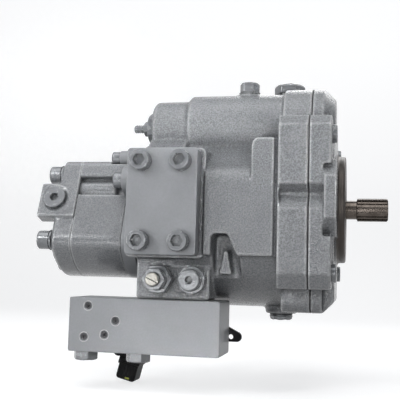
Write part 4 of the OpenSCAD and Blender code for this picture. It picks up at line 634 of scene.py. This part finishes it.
def makeFloor(look):
    level = cadBox[0][2] - look["clear"]
    rows = [(look["near"], level)]
    for step in range(look["steps"] + 1):
        angle = math.radians(90 * step / look["steps"])
        rows.append((look["bend"] + look["radius"] * math.sin(angle),
                     level + look["radius"] * (1 - math.cos(angle))))
    rows.append((look["bend"] + look["radius"], level + look["height"]))
    work = bmesh.new()
    lines = [[work.verts.new((side * look["halfWidth"], y, z)) for side in (-1, 1)] for y, z in rows]
    for one, two in zip(lines, lines[1:]):
        work.faces.new((one[0], one[1], two[1], two[0]))
    mesh = bpy.data.meshes.new("floor")
    work.to_mesh(mesh)
    work.free()
    for face in mesh.polygons:
        face.use_smooth = True
    floor = bpy.data.objects.new("floor", mesh)
    scene.collection.objects.link(floor)
    material, tree, shader, place = startMaterial("paleFloor")
    shade = noiseAt(tree, place, look["patch"], detail=2.0, rough=0.5)
    tree.links.new(ramp(tree, shade, 0.3, 0.7, tint(look["tone"], look["uneven"]), look["tone"]),
                   shader.inputs["Base Color"])
    shader.inputs["Roughness"].default_value = look["rough"]
    shader.inputs["Specular IOR Level"].default_value = look["specular"]
    axes = addNode(tree, "ShaderNodeSeparateXYZ")
    tree.links.new(place, axes.inputs["Vector"])
    glow = addNode(tree, "ShaderNodeEmission", {"Color": look["glow"]})
    rise = spread(tree, axes.outputs["Z"], look["glowLow"], look["glowHigh"], level, level + look["glowRise"])
    tree.links.new(rise, glow.inputs["Strength"])
    shown = addNode(tree, "ShaderNodeAddShader")
    tree.links.new(shader.outputs["BSDF"], shown.inputs[0])
    tree.links.new(glow.outputs["Emission"], shown.inputs[1])
    dim = addNode(tree, "ShaderNodeBsdfDiffuse", {"Color": (*tint(look["tone"], look["bounce"]), 1.0)})
    seen = addNode(tree, "ShaderNodeMixShader")
    tree.links.new(seenRays(tree), seen.inputs["Fac"])
    tree.links.new(dim.outputs["BSDF"], seen.inputs[1])
    tree.links.new(shown.outputs["Shader"], seen.inputs[2])
    out = next(node for node in tree.nodes if node.type == "OUTPUT_MATERIAL")
    tree.links.new(seen.outputs["Shader"], out.inputs["Surface"])
    floor.data.materials.append(material)


makeFloor(floorLook)

# A broad soft box above, smaller ones round the front that bring out the grain and the rounded edges, narrow
# beams on the servo cylinder and the block, and one lamp behind
lamps = {
    "top": {"place": (-0.3, -0.6, 1.5), "aim": (-0.13, 0.0, 0.02), "size": (2.0, 1.2), "power": 23.0},
    "front": {"place": (-1.2, -1.3, 0.7), "aim": (-0.13, 0.0, 0.0), "size": (0.35, 0.3), "power": 13.0},
    "low": {"place": (-0.24, -0.72, -0.142), "aim": (-0.13, 0.0, 0.0), "size": (0.5, 0.03), "power": 1.1},
    "edge": {"place": (-1.2, -0.55, 0.0), "aim": (-0.13, 0.0, 0.0), "size": (0.16, 0.4), "power": 5.0},
    "fill": {"place": (0.45, -1.5, 0.2), "aim": (-0.1, 0.0, 0.0), "size": (0.3, 0.16), "power": 5.0},
    "upper": {"place": (0.4, -1.25, -0.06), "aim": (-0.15, -0.05, 0.15), "size": (0.2, 0.1), "power": 0.22,
              "spread": 16.0},
    "block": {"place": (0.3, -1.25, 0.05), "aim": (-0.13, -0.085, -0.14), "size": (0.12, 0.08),
              "power": 0.035, "spread": 8.0},
    "back": {"place": (0.25, 0.9, 0.9), "aim": (-0.1, 0.0, 0.0), "size": (1.2, 0.5), "power": 6.0},
}
openSpread = 180.0  # degrees, for a lamp with no grid
for name, lamp in lamps.items():
    data = bpy.data.lights.new(name, "AREA")
    data.shape = "RECTANGLE"
    data.size, data.size_y = lamp["size"]
    data.energy = lamp["power"]
    data.spread = math.radians(lamp.get("spread", openSpread))
    box = bpy.data.objects.new(name, data)
    turn = (Vector(lamp["aim"]) - Vector(lamp["place"])).to_track_quat("-Z", "Y")
    box.matrix_world = Matrix.Translation(lamp["place"]) @ turn.to_matrix().to_4x4()
    scene.collection.objects.link(box)

# The room gives the object a weak even light and shows as pale as the backdrop
room = {"colour": (0.92, 0.96, 1.0, 1.0), "light": 0.11, "shown": 0.6}
world = bpy.data.worlds.new("studio")
world.use_nodes = True
tree = world.node_tree
tree.nodes.clear()
light = addNode(tree, "ShaderNodeBackground", {"Color": room["colour"], "Strength": room["light"]})
shown = addNode(tree, "ShaderNodeBackground", {"Color": room["colour"], "Strength": room["shown"]})
seen = addNode(tree, "ShaderNodeMixShader")
tree.links.new(seenRays(tree), seen.inputs["Fac"])
tree.links.new(light.outputs["Background"], seen.inputs[1])
tree.links.new(shown.outputs["Background"], seen.inputs[2])
tree.links.new(seen.outputs["Shader"], addNode(tree, "ShaderNodeOutputWorld").inputs["Surface"])
scene.world = world
scene.view_settings.view_transform = "Standard"
print("studio lit")
